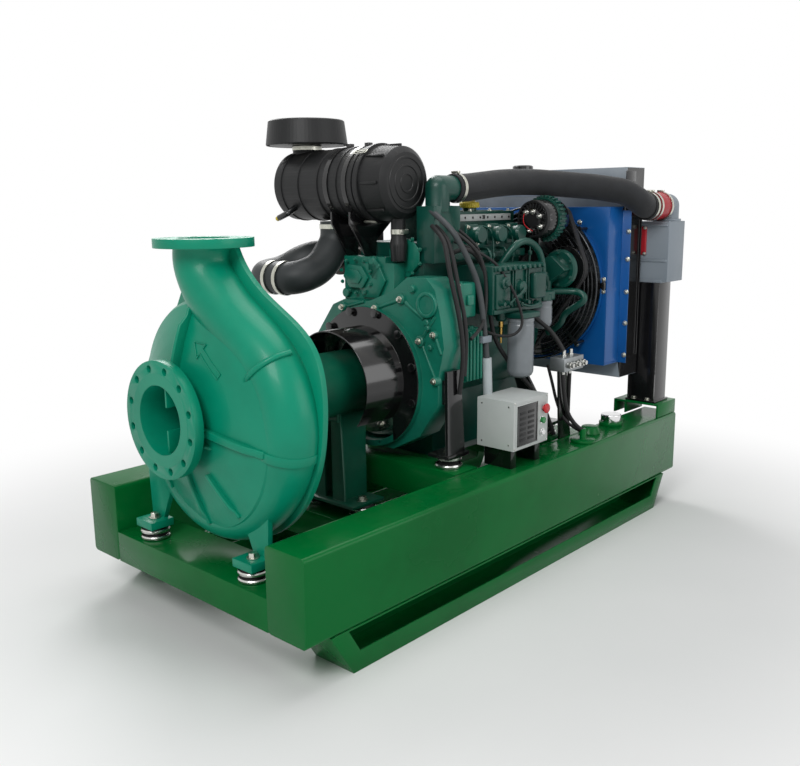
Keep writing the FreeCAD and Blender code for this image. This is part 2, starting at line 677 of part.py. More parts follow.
# Anti-vibration mounts and bolts
MOUNTS = [("front + foot_setback + 15", "foot_offset", "low_top", "foot_thickness"),
          ("front + pump_member_centre", "110", "low_top", "leg_plate"),
          ("front + engine_rear_member", "300", "beam_top", "engine_foot"),
          ("front + engine_front_member", "300", "beam_top", "engine_foot")]


def mount(x, y, z):
    """A bonded rubber mount in its steel cup."""
    return lathe("z", [
        ("0", "0"), ("0", "mount_radius"), ("8", "mount_radius"), ("8", "mount_radius - 5"),
        ("15", "mount_radius - 9"), ("mount_height - 14", "mount_radius - 7"),
        ("mount_height - 10", "mount_radius - 3"), ("mount_height", "mount_radius - 8"),
        ("mount_height", "0")], x, y, z)


def hex_head(axis, x, y, z, across, height):
    """A six-sided bolt head or nut on its washer, standing on a face."""
    corners = [(a, b) for a, b in around(6, f"{across}")]
    washer = rod(axis, x, y, z, f"{across} * 1.35", "3")
    if axis == "z":
        head = slab("z", [(f"{x} + {a}", f"{y} + {b}") for a, b in corners], f"{z} + 3", height)
    elif axis == "x":
        head = slab("x", [(f"{y} + {a}", f"{z} + {b}") for a, b in corners], f"{x} + 3", height)
    else:
        head = slab("y", [(f"{x} + {a}", f"{z} + {b}") for a, b in corners], f"{y} + 3", height)
    return fuse(washer, head)


mount_bodies, fasteners = [], []
for x, y, z, foot in MOUNTS:
    for side in ("", "-1 * "):
        mount_bodies.append(mount(x, f"{side}{y}", z))
        fasteners.append(hex_head("z", x, f"{side}{y}", f"{z} + mount_height + {foot}",
                                  "bolt_head * 1.25", "bolt_height + 3"))
node("isolator_mounts", group(*mount_bodies))
for y, z in around(12, "cover_radius - 8", 15):
    fasteners.append(hex_head("x", "casing_back + cover_thickness", y, f"shaft_z + {z}",
                              "bolt_head", "bolt_height"))

# Coupling and its guard
guard_start = "bell_x - guard_length"
guard_shell = tube("x", guard_start, "0", "shaft_z", "guard_radius",
                   "guard_radius - guard_wall", "guard_length")
guard_plate = tube("x", "bell_x - guard_wall", "0", "shaft_z", "bell_radius",
                   "guard_radius - guard_wall", "guard_wall")
guard_mouth = box(f"{guard_start} - 1", "-guard_radius * 0.72", "shaft_z - bell_radius - 1",
                  "guard_length + 2", "guard_radius * 1.44", "bell_radius - 60")
node("coupling_guard", cut(fuse(guard_shell, guard_plate), guard_mouth))
for number, (y, z) in enumerate(around(size.bell_holes, "bell_circle", 15)):
    if number not in (7, 8, 9, 10):
        fasteners.append(hex_head("x", "bell_x - guard_wall - bolt_height - 3", y,
                                  f"shaft_z + {z}", "bolt_head", "bolt_height"))
node("coupling_hub", tube("x", "shaft_end - hub_length", "0", "shaft_z", "hub_radius",
                          "shaft_radius + fit_gap", "hub_length"))
node("coupling_element", tube("x", "flywheel_x - coupling_width", "0", "shaft_z",
                              "coupling_radius", "hub_radius", "coupling_width - 15"))

# Engine: rotating parts
node("flywheel", cut(
    fuse(rod("x", "flywheel_x", "0", "shaft_z", "flywheel_radius", "flywheel_thickness"),
         rod("x", "flywheel_x - coupling_width", "0", "shaft_z", "drive_ring_radius",
             "coupling_width")),
    rod("x", "flywheel_x - coupling_width - 1", "0", "shaft_z", "coupling_radius",
        "coupling_width - 14"),
    rod("x", "flywheel_x - 15", "0", "shaft_z", "coupling_radius - 12", "15")))
crank_parts = [rod("x", "flywheel_x + flywheel_thickness", "0", "shaft_z", "crank_journal",
                   "belt_x - flywheel_x - flywheel_thickness + belt_width + 12"),
               rod("x", "flywheel_x + flywheel_thickness", "0", "shaft_z", "crank_journal + 22",
                   "14")]
first_throw = "block_x + end_wall + (block_length - 2 * end_wall - 3 * cylinder_pitch) / 2"
for throw, way in enumerate((1, -1, -1, 1)):
    middle = f"{first_throw} + {throw} * cylinder_pitch"
    crank_parts.append(rod("x", f"{middle} - cylinder_pitch * 0.3", "0",
                           f"shaft_z + {way} * crank_throw", "crank_pin", "cylinder_pitch * 0.6"))
    for side in (-1, 1):
        crank_parts.append(rod("x", f"{middle} + {side} * cylinder_pitch * 0.27 - web_thickness / 2",
                               "0", "shaft_z", "crank_web", "web_thickness"))
node("crankshaft", fuse(*crank_parts))


def grooved_pulley(centre_y, centre_z, radius, bore, start="belt_x", width="belt_width"):
    """A belt pulley with a rim at each side and a dished web."""
    return lathe("x", [
        ("-3", bore), ("-3", f"{radius} + 5"), ("0", f"{radius} + 5"), ("0", radius),
        (width, radius), (width, f"{radius} + 5"), (f"{width} + 3", f"{radius} + 5"),
        (f"{width} + 3", f"{radius} - 6"), (f"{width} - 8", f"{radius} - 12"),
        (f"{width} - 8", f"{bore} + 14"), (f"{width} + 3", f"{bore} + 12"),
        (f"{width} + 3", bore)], start, centre_y, centre_z)


node("crank_pulley", grooved_pulley("0", "shaft_z", "crank_pulley_radius",
                                    "crank_journal + fit_gap"))
node("coolant_pump_pulley", grooved_pulley("-coolant_side", "coolant_z",
                                           "coolant_pulley_radius", "10 + fit_gap"))
node("alternator_pulley", fuse(
    grooved_pulley("-alternator_side", "alternator_z", "alternator_pulley_radius", "8"),
    rod("x", "belt_x - 12", "-alternator_side", "alternator_z", "8", "belt_width + 20")))


def fan_blade(index):
    """One twisted blade, set coarse at the hub and fine at the tip."""
    profiles = []
    for share in (0.0, 0.5, 1.0):
        radius = size.fan_hub - 6 + share * (size.fan_radius - size.fan_hub + 6)
        chord = 78 + 60 * share
        pitch = math.radians(46 - 20 * share)
        half = chord / 2
        points = []
        for along, through in ((-half, 0), (0, 5), (half, 0), (0, -1.5)):
            points.append(Vector(along * math.sin(pitch) + through * math.cos(pitch), radius,
                                 along * math.cos(pitch) - through * math.sin(pitch)))
        points.append(points[0])
        profiles.append(Part.Wire(Part.makePolygon(points)))
    solid = Part.makeLoft(profiles, True, True)
    solid.rotate(Vector(0, 0, 0), Vector(1, 0, 0), 360 * index / size.fan_blades)
    solid.translate(Vector(size.fan_x + size.fan_depth / 2, -size.fan_side, size.fan_z))
    return solid


node("cooling_fan", fuse(
    grooved_pulley("-fan_side", "fan_z", "fan_pulley_radius", "15 + fit_gap"),
    tube("x", "belt_x + belt_width - 8", "-fan_side", "fan_z", "fan_hub - 22", "15 + fit_gap",
         "fan_x - belt_x - belt_width + 10"),
    tube("x", "fan_x", "-fan_side", "fan_z", "fan_hub", "15 + fit_gap", "fan_depth"),
    *[formed(fan_blade(i), "fan_blade") for i in range(int(size.fan_blades))]))


def belt_loop(grow):
    """A tight loop round the four pulleys, as a face across the shaft."""
    circles = [(0.0, size.shaft_z, size.crank_pulley_radius),
               (-size.fan_side, size.fan_z, size.fan_pulley_radius),
               (-size.alternator_side, size.alternator_z, size.alternator_pulley_radius),
               (-size.coolant_side, size.coolant_z, size.coolant_pulley_radius)]
    touches = []
    for (y0, z0, r0), (y1, z1, r1) in zip(circles, circles[1:] + circles[:1]):
        r0, r1 = r0 + grow, r1 + grow
        span = math.hypot(y1 - y0, z1 - z0)
        heading = math.atan2(z1 - z0, y1 - y0)
        normal = heading - math.pi / 2 + math.asin((r1 - r0) / span) * -1
        touches.append(((y0 + r0 * math.cos(normal), z0 + r0 * math.sin(normal)),
                        (y1 + r1 * math.cos(normal), z1 + r1 * math.sin(normal)), normal))
    edges = []
    for i, (leave, arrive, normal) in enumerate(touches):
        edges.append(Part.LineSegment(Vector(0, *leave), Vector(0, *arrive)).toShape())
        y1, z1, r1 = circles[(i + 1) % len(circles)]
        following = touches[(i + 1) % len(touches)]
        turn = (following[2] - normal) % (2 * math.pi)
        middle = normal + turn / 2
        top = Vector(0, y1 + (r1 + grow) * math.cos(middle), z1 + (r1 + grow) * math.sin(middle))
        edges.append(Part.Arc(Vector(0, *arrive), top, Vector(0, *following[0])).toShape())
    return Part.Face(Part.Wire(edges))


belt_shape = belt_loop(size.face_gap + size.belt_thickness).cut(belt_loop(size.face_gap))
belt_shape = belt_shape.extrude(Vector(size.belt_width - 2, 0, 0))
belt_shape.translate(Vector(size.belt_x + 1, 0, 0))
node("drive_belt", formed(belt_shape, "belt"))

# Engine: castings
housing_outline = [(-311, 24), (-336, 130), (-323, 222), (-299, 316), (-262, 352), (-180, 352),
                   (-105, 300), (0, 262), (120, 262), (177, 240), (262, 130), (262, -90),
                   (200, -190), (110, -243), (-110, -243), (-230, -180), (-311, -60)]
housing_front = "bell_x + bell_thickness"
housing = fuse(
    slab("x", [(y, f"shaft_z + {z}") for y, z in housing_outline], housing_front,
         "housing_depth - bell_thickness"),
    rod("x", "bell_x", "0", "shaft_z", "bell_radius", "bell_thickness + 5"),
    box("block_x - 55", "-35", "shaft_z + 240", "55", "200", "170"),
    box("block_x - 55", "-75", "shaft_z + 240", "55", "41", "150"))
node("flywheel_housing", cut(
    housing,
    rod("x", "bell_x - 1", "0", "shaft_z", "bell_bore",
        "flywheel_recess + flywheel_thickness + 6"),
    rod("x", "bell_x", "0", "shaft_z", "crank_journal + 26", "housing_depth + 1"),
    *[rod("x", "bell_x - 1", y, f"shaft_z + {z}", "5.5", "bell_thickness")
      for y, z in around(size.bell_holes, "bell_circle", 15)]))

half, waist = "block_width / 2", "block_waist / 2"
block_outline = [(f"-({half}) + 20", "shaft_z - block_below"), (f"-({half})", "shaft_z - 30"),
                 (f"-({half})", "shaft_z + 90"), (f"-({waist})", "shaft_z + 130"),
                 (f"-({waist})", "head_z"), (waist, "head_z"), (waist, "shaft_z + 130"),
                 (half, "shaft_z + 90"), (half, "shaft_z - 30"),
                 (f"{half} - 20", "shaft_z - block_below")]
front_cover = [("-150", "shaft_z - 70"), ("-190", "shaft_z + 60"), ("-230", "coolant_z - 80"),
               ("-coolant_side - 62", "coolant_z"), ("-coolant_side", "coolant_z + 52"), ("-120", "head_z"),
               ("120", "head_z"), ("150", "fan_z"), ("150", "shaft_z - 70")]
node("engine_block", cut(
    fuse(slab("x", block_outline, "block_x", "block_length"),
         slab("x", front_cover, "block_end", "front_cover_depth"),
         rod("x", "front_cover_x - 5", "-fan_side", "fan_z", "48", "pulley_gap - 6"),
         rod("x", "front_cover_x - 5", "-fan_side", "fan_z", "15", "pulley_gap + 60")),
    rod("x", "block_x + end_wall", "0", "shaft_z", "crank_cavity", "block_length - 2 * end_wall"),
    rod("x", "block_x - 1", "0", "shaft_z", "crank_journal + fit_gap",
        "block_length + front_cover_depth + 2")))

sump_x = "block_x + sump_inset"
sump_top = "shaft_z - block_below"
sump_tray = [("-sump_width / 2", sump_top), ("-sump_width / 2", f"{sump_top} - sump_depth + 40"),
             ("-sump_width / 2 + 40", f"{sump_top} - sump_depth"),
             ("sump_width / 2 - 40", f"{sump_top} - sump_depth"),
             ("sump_width / 2", f"{sump_top} - sump_depth + 40"), ("sump_width / 2", sump_top)]
sump_inside = [("-sump_width / 2 + sump_wall", f"{sump_top} + 1"),
               ("-sump_width / 2 + sump_wall", f"{sump_top} - sump_depth + 42"),
               ("-sump_width / 2 + 42", f"{sump_top} - sump_depth + sump_wall"),
               ("sump_width / 2 - 42", f"{sump_top} - sump_depth + sump_wall"),
               ("sump_width / 2 - sump_wall", f"{sump_top} - sump_depth + 42"),
               ("sump_width / 2 - sump_wall", f"{sump_top} + 1")]
sump_pan = box("block_x", "-sump_width / 2", f"{sump_top} - 90", "block_length", "sump_width",
               "90")
sump_pan_inside = box("block_x + sump_wall", "-sump_width / 2 + sump_wall",
                      f"{sump_top} - 90 + sump_wall", "block_length - 2 * sump_wall",
                      "sump_width - 2 * sump_wall", "90")
node("oil_sump", cut(fuse(slab("x", sump_tray, sump_x, "sump_length"), sump_pan),
                     slab("x", sump_inside, f"{sump_x} + sump_wall", "sump_length - 2 * sump_wall"),
                     sump_pan_inside))

head = box("block_x + head_inset", "-head_width / 2", "head_z", "block_length - 2 * head_inset",
           "head_width", "head_height")
plenum = box("block_x + head_inset", "-head_width / 2 - 45", "head_z + 50",
             "block_length - 2 * head_inset - 60", "47", "head_height - 50")
inlet_box = box("block_x + head_inset", "-head_width / 2 - 45", "rocker_z - 2", "140", "78",
                "rocker_height + 22")
inlet_x, inlet_y = "block_x + 75", "-head_width / 2 - 10"
inlet_z = "rocker_z + rocker_height + 80"
elbow = fuse(rod("z", inlet_x, inlet_y, "rocker_z + rocker_height", "hose_radius - 6", "80"),
             ball(inlet_x, inlet_y, inlet_z, "hose_radius - 6"),
             rod("x", inlet_x, inlet_y, inlet_z, "hose_radius - 6", "75"))
node("cylinder_head", fuse(head, plenum, inlet_box, elbow))

rocker_top = "rocker_z + rocker_height"
rocker = box("rocker_x", "-rocker_width / 2", "rocker_z", "rocker_length", "rocker_width",
             "rocker_height")
rocker_shell = box("rocker_x + cover_wall", "-rocker_width / 2 + cover_wall", "rocker_z - 1",
                   "rocker_length - 2 * cover_wall", "rocker_width - 2 * cover_wall",
                   "rocker_height - cover_wall + 1")
filler_x, filler_y = "rocker_x + 160", "-rocker_width / 2 + 45"
node("rocker_cover", cut(
    fuse(rocker, rod("z", filler_x, filler_y, f"{rocker_top} - 2", "26", "14")),
    rocker_shell, rod("z", filler_x, filler_y, f"{rocker_top} - cover_wall - 2", "20", "20")))
node("oil_filler_cap", fuse(
    rod("z", filler_x, filler_y, f"{rocker_top} + 12", "36", "22"),
    rod("z", filler_x, filler_y, f"{rocker_top} - 4", "20 - face_gap", "16.5"),
    box(f"{filler_x} - 28", f"{filler_y} - 7", f"{rocker_top} + 33", "56", "14", "12")))


def cover_plate(start, y, z, radius, corners, first):
    """A bolted cover with straight sides on the rear gear case."""
    points = [(f"{y} + {a}", f"shaft_z + {z} + {b}") for a, b in around(corners, f"{radius}", first)]
    return slab("x", points, start, "cover_depth")


node("engine_covers", group(
    cover_plate("block_x + head_inset - cover_depth", -64, 406, 70, 8, 22.5),
    cover_plate("block_x - 55 - cover_depth", 28, 331, 72, 6, 0),
    tube("x", "bell_x + bell_thickness - cover_depth", "-268", "shaft_z + 267", "42", "30",
         "cover_depth"),
    box("block_x + 150", "-block_waist / 2 - 190", "shaft_z + 213", "300", "190", "165")))

engine_foot_level = "beam_top + mount_height"


def rear_leg(side, housing_side):
    """A folded plate from the flywheel housing down to its mount."""
    inner = "leg_side" if side > 0 else "-leg_side - leg_sheet"
    plate = [("bell_x + 40", "shaft_z + 50"), ("bell_x + 110", "shaft_z + 50"),
             ("front + engine_rear_member + 45", f"{engine_foot_level} + 2"),
             ("front + engine_rear_member - 45", f"{engine_foot_level} + 2")]
    foot = box("front + engine_rear_member - 55", f"{side} * 300 - 45", engine_foot_level, "110",
               "90", "engine_foot")
    pad_start = housing_side if side > 0 else "-leg_side"
    pad = box("bell_x + 40", pad_start, "shaft_z - 60", "70", f"leg_side - {housing_side}", "80")
    return fuse(slab("y", plate, inner, "leg_sheet"), foot, pad)


def front_leg(side):
    """A gusseted bracket from the block's side down to its mount."""
    near, far = f"{side} * block_width / 2", f"{side} * 345"
    plate = [(near, "shaft_z + 40"), (near, "shaft_z - 60"),
             (f"{side} * 255", f"{engine_foot_level} + 2"), (far, f"{engine_foot_level} + 2"),
             (far, f"{engine_foot_level} + 40")]
    foot = box("front + engine_front_member - 50", f"{side} * 300 - 45", engine_foot_level,
               "100", "90", "engine_foot")
    return fuse(slab("x", plate, "front + engine_front_member - 45", "leg_sheet"), foot)


cleaner_seat = "cleaner_height - cleaner_radius"


def cleaner_strap(y):
    """A folded strap that carries the air cleaner on the gear case."""
    gear_case_top = "shaft_z + 410"
    points = [("cleaner_x - 100", f"{cleaner_seat} + 32"), ("cleaner_x - 100", f"{cleaner_seat} - 8"),
              ("block_x - 50", gear_case_top), ("block_x - 2", gear_case_top),
              ("block_x + 5", "rocker_z + 8"), ("cleaner_x + 100", f"{cleaner_seat} - 8"),
              ("cleaner_x + 100", f"{cleaner_seat} + 32")]
    return slab("y", points, y, "8")


cradle_cut = rod("y", "cleaner_x", "-400", "cleaner_height", "cleaner_radius + face_gap", "900")
node("engine_brackets", group(
    rear_leg(1, "262"), rear_leg(-1, "311"), front_leg(1), front_leg(-1),
    cut(cleaner_strap("60"), cradle_cut), cut(cleaner_strap("150"), cradle_cut)))

# Engine: units bolted on
coolant_pump = fuse(
    rod("x", "front_cover_x", "-coolant_side", "coolant_z", "58", "20"),
    cone("x", "front_cover_x + 20", "-coolant_side", "coolant_z", "58", "30", "14"),
    rod("x", "front_cover_x", "-coolant_side", "coolant_z", "10", "pulley_gap + belt_width"))
node("coolant_pump", coolant_pump)
alternator_x = "belt_x - 16 - alternator_length"
node("alternator", fuse(
    cut(lathe("x", [("0", "0"), ("0", "alternator_radius - 14"), ("12", "alternator_radius - 4"),
                    ("40", "alternator_radius"), ("alternator_length - 25", "alternator_radius"),
                    ("alternator_length", "alternator_radius - 22"), ("alternator_length", "0")],
              alternator_x, "-alternator_side", "alternator_z"),
        rod("x", f"{alternator_x} + 60", "-alternator_side", "alternator_z", "8 + fit_gap",
            "alternator_length")),
    box(f"{alternator_x} + 40", "-alternator_side", "head_z + 60", "alternator_length - 70",
        "alternator_side - head_width / 2",
        "alternator_z - head_z - 60 - alternator_radius + 20")))
node("starter_motor", fuse(
    rod("x", "block_x", "block_width / 2 + 48", "shaft_z - 20", "46", "200"),
    rod("x", "block_x + 30", "block_width / 2 + 60", "shaft_z + 45", "24", "120")))
manifold_side = "head_width / 2 + 70"
node("exhaust_manifold", fuse(
    rod("x", "block_x + 60", manifold_side, "head_z + 60", "30", "430"),
    *[rod("y", f"block_x + {60 + 43 + 115 * i}", "head_width / 2", "head_z + 60", "24", "70")
      for i in range(4)],
    rod("y", "block_x + 170", manifold_side, "head_z + 60", "32", "60")))
turbo_x, turbo_y, turbo_z = "block_x + 170", f"{manifold_side} + 130", "head_z + 60"
node("turbocharger", fuse(
    tube("x", f"{turbo_x} - 110", turbo_y, turbo_z, "46", "38", "40"),
    rod("x", f"{turbo_x} - 75", turbo_y, turbo_z, "76", "40"),
    rod("x", f"{turbo_x} - 40", turbo_y, turbo_z, "34", "50"),
    rod("x", f"{turbo_x}", turbo_y, turbo_z, "66", "52"),
    rod("y", f"{turbo_x}", f"{manifold_side} + 60", turbo_z, "30", "40"),
    rod("x", f"{turbo_x} + 50", turbo_y, turbo_z, "42", "60"),
    ball(f"{turbo_x} + 110", turbo_y, turbo_z, "42"),
    rod("z", f"{turbo_x} + 110", turbo_y, turbo_z, "42", "45"),
    tube("z", f"{turbo_x} + 110", turbo_y, f"{turbo_z} + 45", "45", "40", "80")))


def spin_on_filter(x, y, z, radius, length):
    """A domed filter canister that hangs from its head."""
    return lathe("z", [("0", "0"), ("0", f"{radius} - 16"), ("8", f"{radius} - 4"),
                       ("18", radius), (length, radius), (length, "0")], x, y, z)


node("fuel_filters", group(
    fuse(spin_on_filter("block_x + 305", "-350", "shaft_z - 20", "47", "213"),
         box("block_x + 250", "-395", "shaft_z + 193", "110", "130", "20")),
    fuse(spin_on_filter("block_x + 494", "-310", "shaft_z + 131", "40", "104"),
         box("block_x + 455", "-345", "shaft_z + 235", "80", "195", "34"))))
pipe_ways = []
for number in range(2):
    x = size.block_x + 270 + 100 * number
    side = size.head_width / 2 + 45
    pipe_ways.append([Vector(x, -side, size.shaft_z + 430), Vector(x, -side - 32, size.shaft_z + 430),
                      Vector(x, -side - 46, size.shaft_z + 412),
                      Vector(x, -side - 46, size.shaft_z + 378)])
node("engine_hoses", group(*[formed(hose(way, 5), "fuel_pipe") for way in pipe_ways]))

# Charge air
hose_height = size.rocker_z + size.rocker_height + 80
hose_side = -size.head_width / 2 - 10
hose_x = size.block_x + 150 + size.face_gap
hose_route = [Vector(hose_x, hose_side, hose_height), Vector(hose_x + 60, hose_side, hose_height),
              at(1330, -170, hose_height + 22), at(1480, -200, hose_height + 25),
              at(1600, -260, hose_height + 16), at(1690, -352, hose_height + 4),
              at(1758, -438, hose_height - 14), at(1812, -472, hose_height - 52),
              at(1856, -size.pipe_side, hose_height - 70),
              at(1956, -size.pipe_side, hose_height - 70)]
node("charge_air_hose", formed(hose(hose_route, size.hose_radius, size.hose_radius - 6),
                               "charge_air_hose"))

# Radiator pack
shroud_top = "shroud_bottom + shroud_height"
shroud = box("shroud_x", "-shroud_width / 2", "shroud_bottom", "shroud_depth", "shroud_width",
             "shroud_height")
shroud_inside = box("shroud_x + shroud_sheet", "-shroud_width / 2 + shroud_sheet",
                    "shroud_bottom + shroud_sheet", "shroud_depth",
                    "shroud_width - 2 * shroud_sheet", "shroud_height - 2 * shroud_sheet")
shroud_flange = cut(
    box("shroud_back", "-shroud_width / 2 - shroud_lip", "shroud_bottom", "shroud_sheet",
        "shroud_width + 2 * shroud_lip", "shroud_height - 15"),
    box("shroud_back - 1", "-shroud_width / 2 + shroud_sheet", "shroud_bottom + shroud_sheet",
        "shroud_sheet + 2", "shroud_width - 2 * shroud_sheet",
        "shroud_height"))
node("fan_shroud", cut(fuse(shroud, shroud_flange), shroud_inside,
                       rod("x", "shroud_x - 1", "-fan_side", "fan_z", "shroud_opening",
                           "shroud_sheet + 2")))
guard_x = "fan_x - 14"
guard_wires = [hoop("x", guard_x, "-fan_side", "fan_z", f"shroud_opening - {54 * i} + 6", "4")
               for i in range(4)]


def guard_bar(angle):
    """A flat radial bar of the fan guard, with a stand-off to the shroud at its end."""
    across, up = math.cos(math.radians(angle)), math.sin(math.radians(angle))
    corners = []
    for reach, half_width in (("144", -8), ("144", 8), ("(shroud_opening + 24)", 8),
                              ("(shroud_opening + 24)", -8)):
        corners.append((f"-fan_side + {reach} * {across:.6f} + {-half_width * up:.6f}",
                        f"fan_z + {reach} * {up:.6f} + {half_width * across:.6f}"))
    stand_off = rod("x", "fan_x - 16", f"-fan_side + (shroud_opening + 14) * {across:.6f}",
                    f"fan_z + (shroud_opening + 14) * {up:.6f}", "6", "shroud_x - fan_x + 16")
    return fuse(slab("x", corners, "fan_x - 16", "4"), stand_off)


node("fan_guard", fuse(*guard_wires, *[guard_bar(angle) for angle in (45, 135, 225, 315)]))

core_bottom = "(radiator_bottom + 80)"
core_top = "(radiator_top - tank_height)"
node("radiator_core", box("core_x", "-core_width / 2", core_bottom, "core_depth", "core_width",
                          f"{core_top} - {core_bottom}"))


def side_channel(side):
    """The folded side member of the radiator pack."""
    inner, outer = f"{side} * core_width / 2", f"{side} * (core_width / 2 + side_width)"
    points = [("core_x", inner), ("core_x", outer), ("core_x + 4", outer),
              ("core_x + 4", f"{inner} + {side} * 4"),
              ("core_x + core_depth - 4", f"{inner} + {side} * 4"),
              ("core_x + core_depth - 4", outer), ("core_x + core_depth", outer),
              ("core_x + core_depth", inner)]
    return slab("z", points, core_bottom, f"{core_top} - {core_bottom}")


def side_tank(side):
    """An end tank of the rear cooler, standing on its post."""
    inner = "cooler_width / 2" if side > 0 else "-cooler_width / 2 - side_tank_width"
    return box("post_x", inner, post_top, "rear - post_x - 4", "side_tank_width",
               f"cooler_top - ({post_top})")


post_top = "beam_top + seat_height + post_height"
cooler_x = "core_x + core_depth"
pipe_x, pipe_z = "front + pipe_corner", "rocker_z + rocker_height + 10"
radiator_pipe = fuse(
    rod("x", "front + 1959", "-pipe_side", pipe_z, "hose_radius", "pipe_corner - 1959"),
    ball(pipe_x, "-pipe_side", pipe_z, "hose_radius"),
    rod("z", pipe_x, "-pipe_side", "cooler_top - 2", "hose_radius", f"{pipe_z} - cooler_top + 2"))
node("radiator_tanks", fuse(
    box("core_x", "-core_width / 2 - side_width", core_top, "core_depth",
        "core_width + 2 * side_width", "tank_height"),
    box("core_x", "-core_width / 2 - side_width", "radiator_bottom", "core_depth",
        "core_width + 2 * side_width", "80"),
    side_channel(1), side_channel(-1),
    box(cooler_x, "-cooler_width / 2", f"{core_bottom} + 60", "cooler_depth", "cooler_width",
        f"cooler_top - {core_bottom} - 60"),
    side_tank(1), side_tank(-1), radiator_pipe))
sleeve_x = "front + sleeve_station"
node("silicone_sleeve", tube("x", sleeve_x, "-pipe_side", pipe_z, "hose_radius + 5",
                             "hose_radius + face_gap", "sleeve_length"))

# Air cleaner
cleaner_joint = "-cleaner_near + cover_length"
cleaner_body = lathe("y", [
    ("0", "cleaner_radius - cleaner_wall"), ("0", "cleaner_radius + 6"),
    ("10", "cleaner_radius + 6"), ("10", "cleaner_radius"),
    ("cleaner_length - cover_length - 20", "cleaner_radius - 4"),
    ("cleaner_length - cover_length", "cleaner_radius - 24"),
    ("cleaner_length - cover_length", "0"),
    ("cleaner_length - cover_length - cleaner_wall", "0"),
    ("cleaner_length - cover_length - cleaner_wall", "cleaner_radius - 28"),
    ("cleaner_length - cover_length - 24", "cleaner_radius - cleaner_wall - 4")],
    "cleaner_x", cleaner_joint, "cleaner_height")
neck = rod("z", "cleaner_x", "cap_side", "cleaner_height", "neck_radius",
           "cap_bottom - cleaner_height + 20")
neck_way = rod("z", "cleaner_x", "cap_side", "cleaner_height", "neck_radius - cleaner_wall",
               "cap_bottom - cleaner_height + 21")
cleaner_hollow = rod("y", "cleaner_x", f"{cleaner_joint} + 2", "cleaner_height",
                     "cleaner_radius - 30",
                     "cleaner_length - cover_length - cleaner_wall - 2")
node("air_cleaner_housing", cut(fuse(cleaner_body, neck), neck_way, cleaner_hollow))
node("air_cleaner_cover", fuse(
    lathe("y", [("0", "0"), ("0", "cleaner_radius - 26"), ("16", "cleaner_radius - 6"),
                ("cover_length - 12", "cleaner_radius"), ("cover_length - 12", "cleaner_radius + 8"),
                ("cover_length", "cleaner_radius + 8"),
                ("cover_length", "cleaner_radius - cleaner_wall"),
                ("20", "cleaner_radius - cleaner_wall - 6"), ("6", "cleaner_radius - 34"),
                ("6", "0")], "cleaner_x", "-cleaner_near", "cleaner_height"),
    lathe("z", [("0", "0"), ("0", "26"), ("60", "30"), ("88", "24"), ("146", "24"),
                ("146", "0")], "cleaner_x - 4", "-cleaner_near + 38", f"{cleaner_seat} - 134")))
node("filter_element", tube("y", "cleaner_x", "-cleaner_near + 10", "cleaner_height",
                            "cleaner_radius - 34", "58",
                            "cleaner_length - cleaner_wall - 10 - face_gap"))
node("rain_cap", lathe("z", [
    ("0", "cap_radius - 6"), ("cap_height * 0.55", "cap_radius"),
    ("cap_height * 0.86", "cap_radius * 0.94"), ("cap_height", "cap_radius * 0.6"),
    ("cap_height", "0"), ("cap_height - 5", "0"), ("cap_height - 5", "cap_radius * 0.55"),
    ("cap_height * 0.8", "cap_radius * 0.9"), ("cap_height * 0.55", "cap_radius - 6"),
    ("26", "cap_radius - 12"), ("26", "neck_radius + 8"), ("20", "neck_radius + 8"),
    ("20", "neck_radius + face_gap"), ("0", "neck_radius + face_gap")],
    "cleaner_x", "cap_side", "cap_bottom"))


def wire_latch(number):
    """An over-centre wire clip on the cover joint."""
    angle = (200, 320, 80)[number]
    shape = Part.makeBox(5, 61.5, 4, Vector(-2.5, -20, 0))
    for across in (-11, 8):
        shape = shape.fuse(Part.makeBox(3, 61.5, 4, Vector(across, -20, 0)))
    shape = shape.fuse(Part.makeBox(22, 5, 4, Vector(-11, -20, 0)))
    shape = shape.fuse(Part.makeCylinder(2, 22, Vector(-11, 41.5, 2), Vector(1, 0, 0)))
    shape.translate(Vector(0, 0, size.cleaner_radius + 8 + size.face_gap))
    shape.rotate(Vector(0, 0, 0), Vector(0, 1, 0), angle)
    joint = size.cover_length - size.cleaner_near
    shape.translate(Vector(size.cleaner_x, joint, size.cleaner_height))
    return formed(shape, "latch")


for number, name in enumerate(("left_cover_latch", "right_cover_latch", "top_cover_latch")):
    node(name, wire_latch(number))

duct_start = size.cleaner_height - size.cleaner_radius - 1
duct_route = [at(860, 224, duct_start), at(860, 224, duct_start - 70),
              at(780, 226, size.duct_height + 30), at(680, 240, size.duct_height),
              at(670, 345, size.duct_height), at(690, 440, size.duct_height),
              at(790, 440, size.duct_height + 10), at(835, 350, size.head_z + 60),
              at(955, 350, size.head_z + 60)]
node("intake_duct", formed(hose(duct_route, size.duct_bore), "intake_duct"))

# Controls on the fuel-tank beam
panel_base = "beam_top + panel_lift"
panel = box("panel_x", "-panel_face", panel_base, "panel_length", "panel_depth", "panel_height")
panel_inside = box("panel_x + panel_sheet", "-panel_face + panel_sheet",
                   f"{panel_base} + panel_sheet", "panel_length - 2 * panel_sheet",
                   "panel_depth - 2 * panel_sheet", "panel_height - 2 * panel_sheet")
panel_feet = [box(f"panel_x + {reach}", "-panel_face + 20", "beam_top", "30", "110", "panel_lift")
              for reach in ("15", "panel_length - 45")]
BUTTONS = {"emergency_stop_button": (180, 118, 8), "start_button": (167, 79, 8),
           "key_switch": (167, 36, 8)}
button_holes = [rod("y", f"panel_x + {x}", "-panel_face - 1", f"{panel_base} + {z}",
                    f"{bore} + face_gap", "panel_sheet + 2") for x, z, bore in BUTTONS.values()]
display = box("panel_x + 12", "-panel_face - 6", f"{panel_base} + 14", "118", "7", "138")
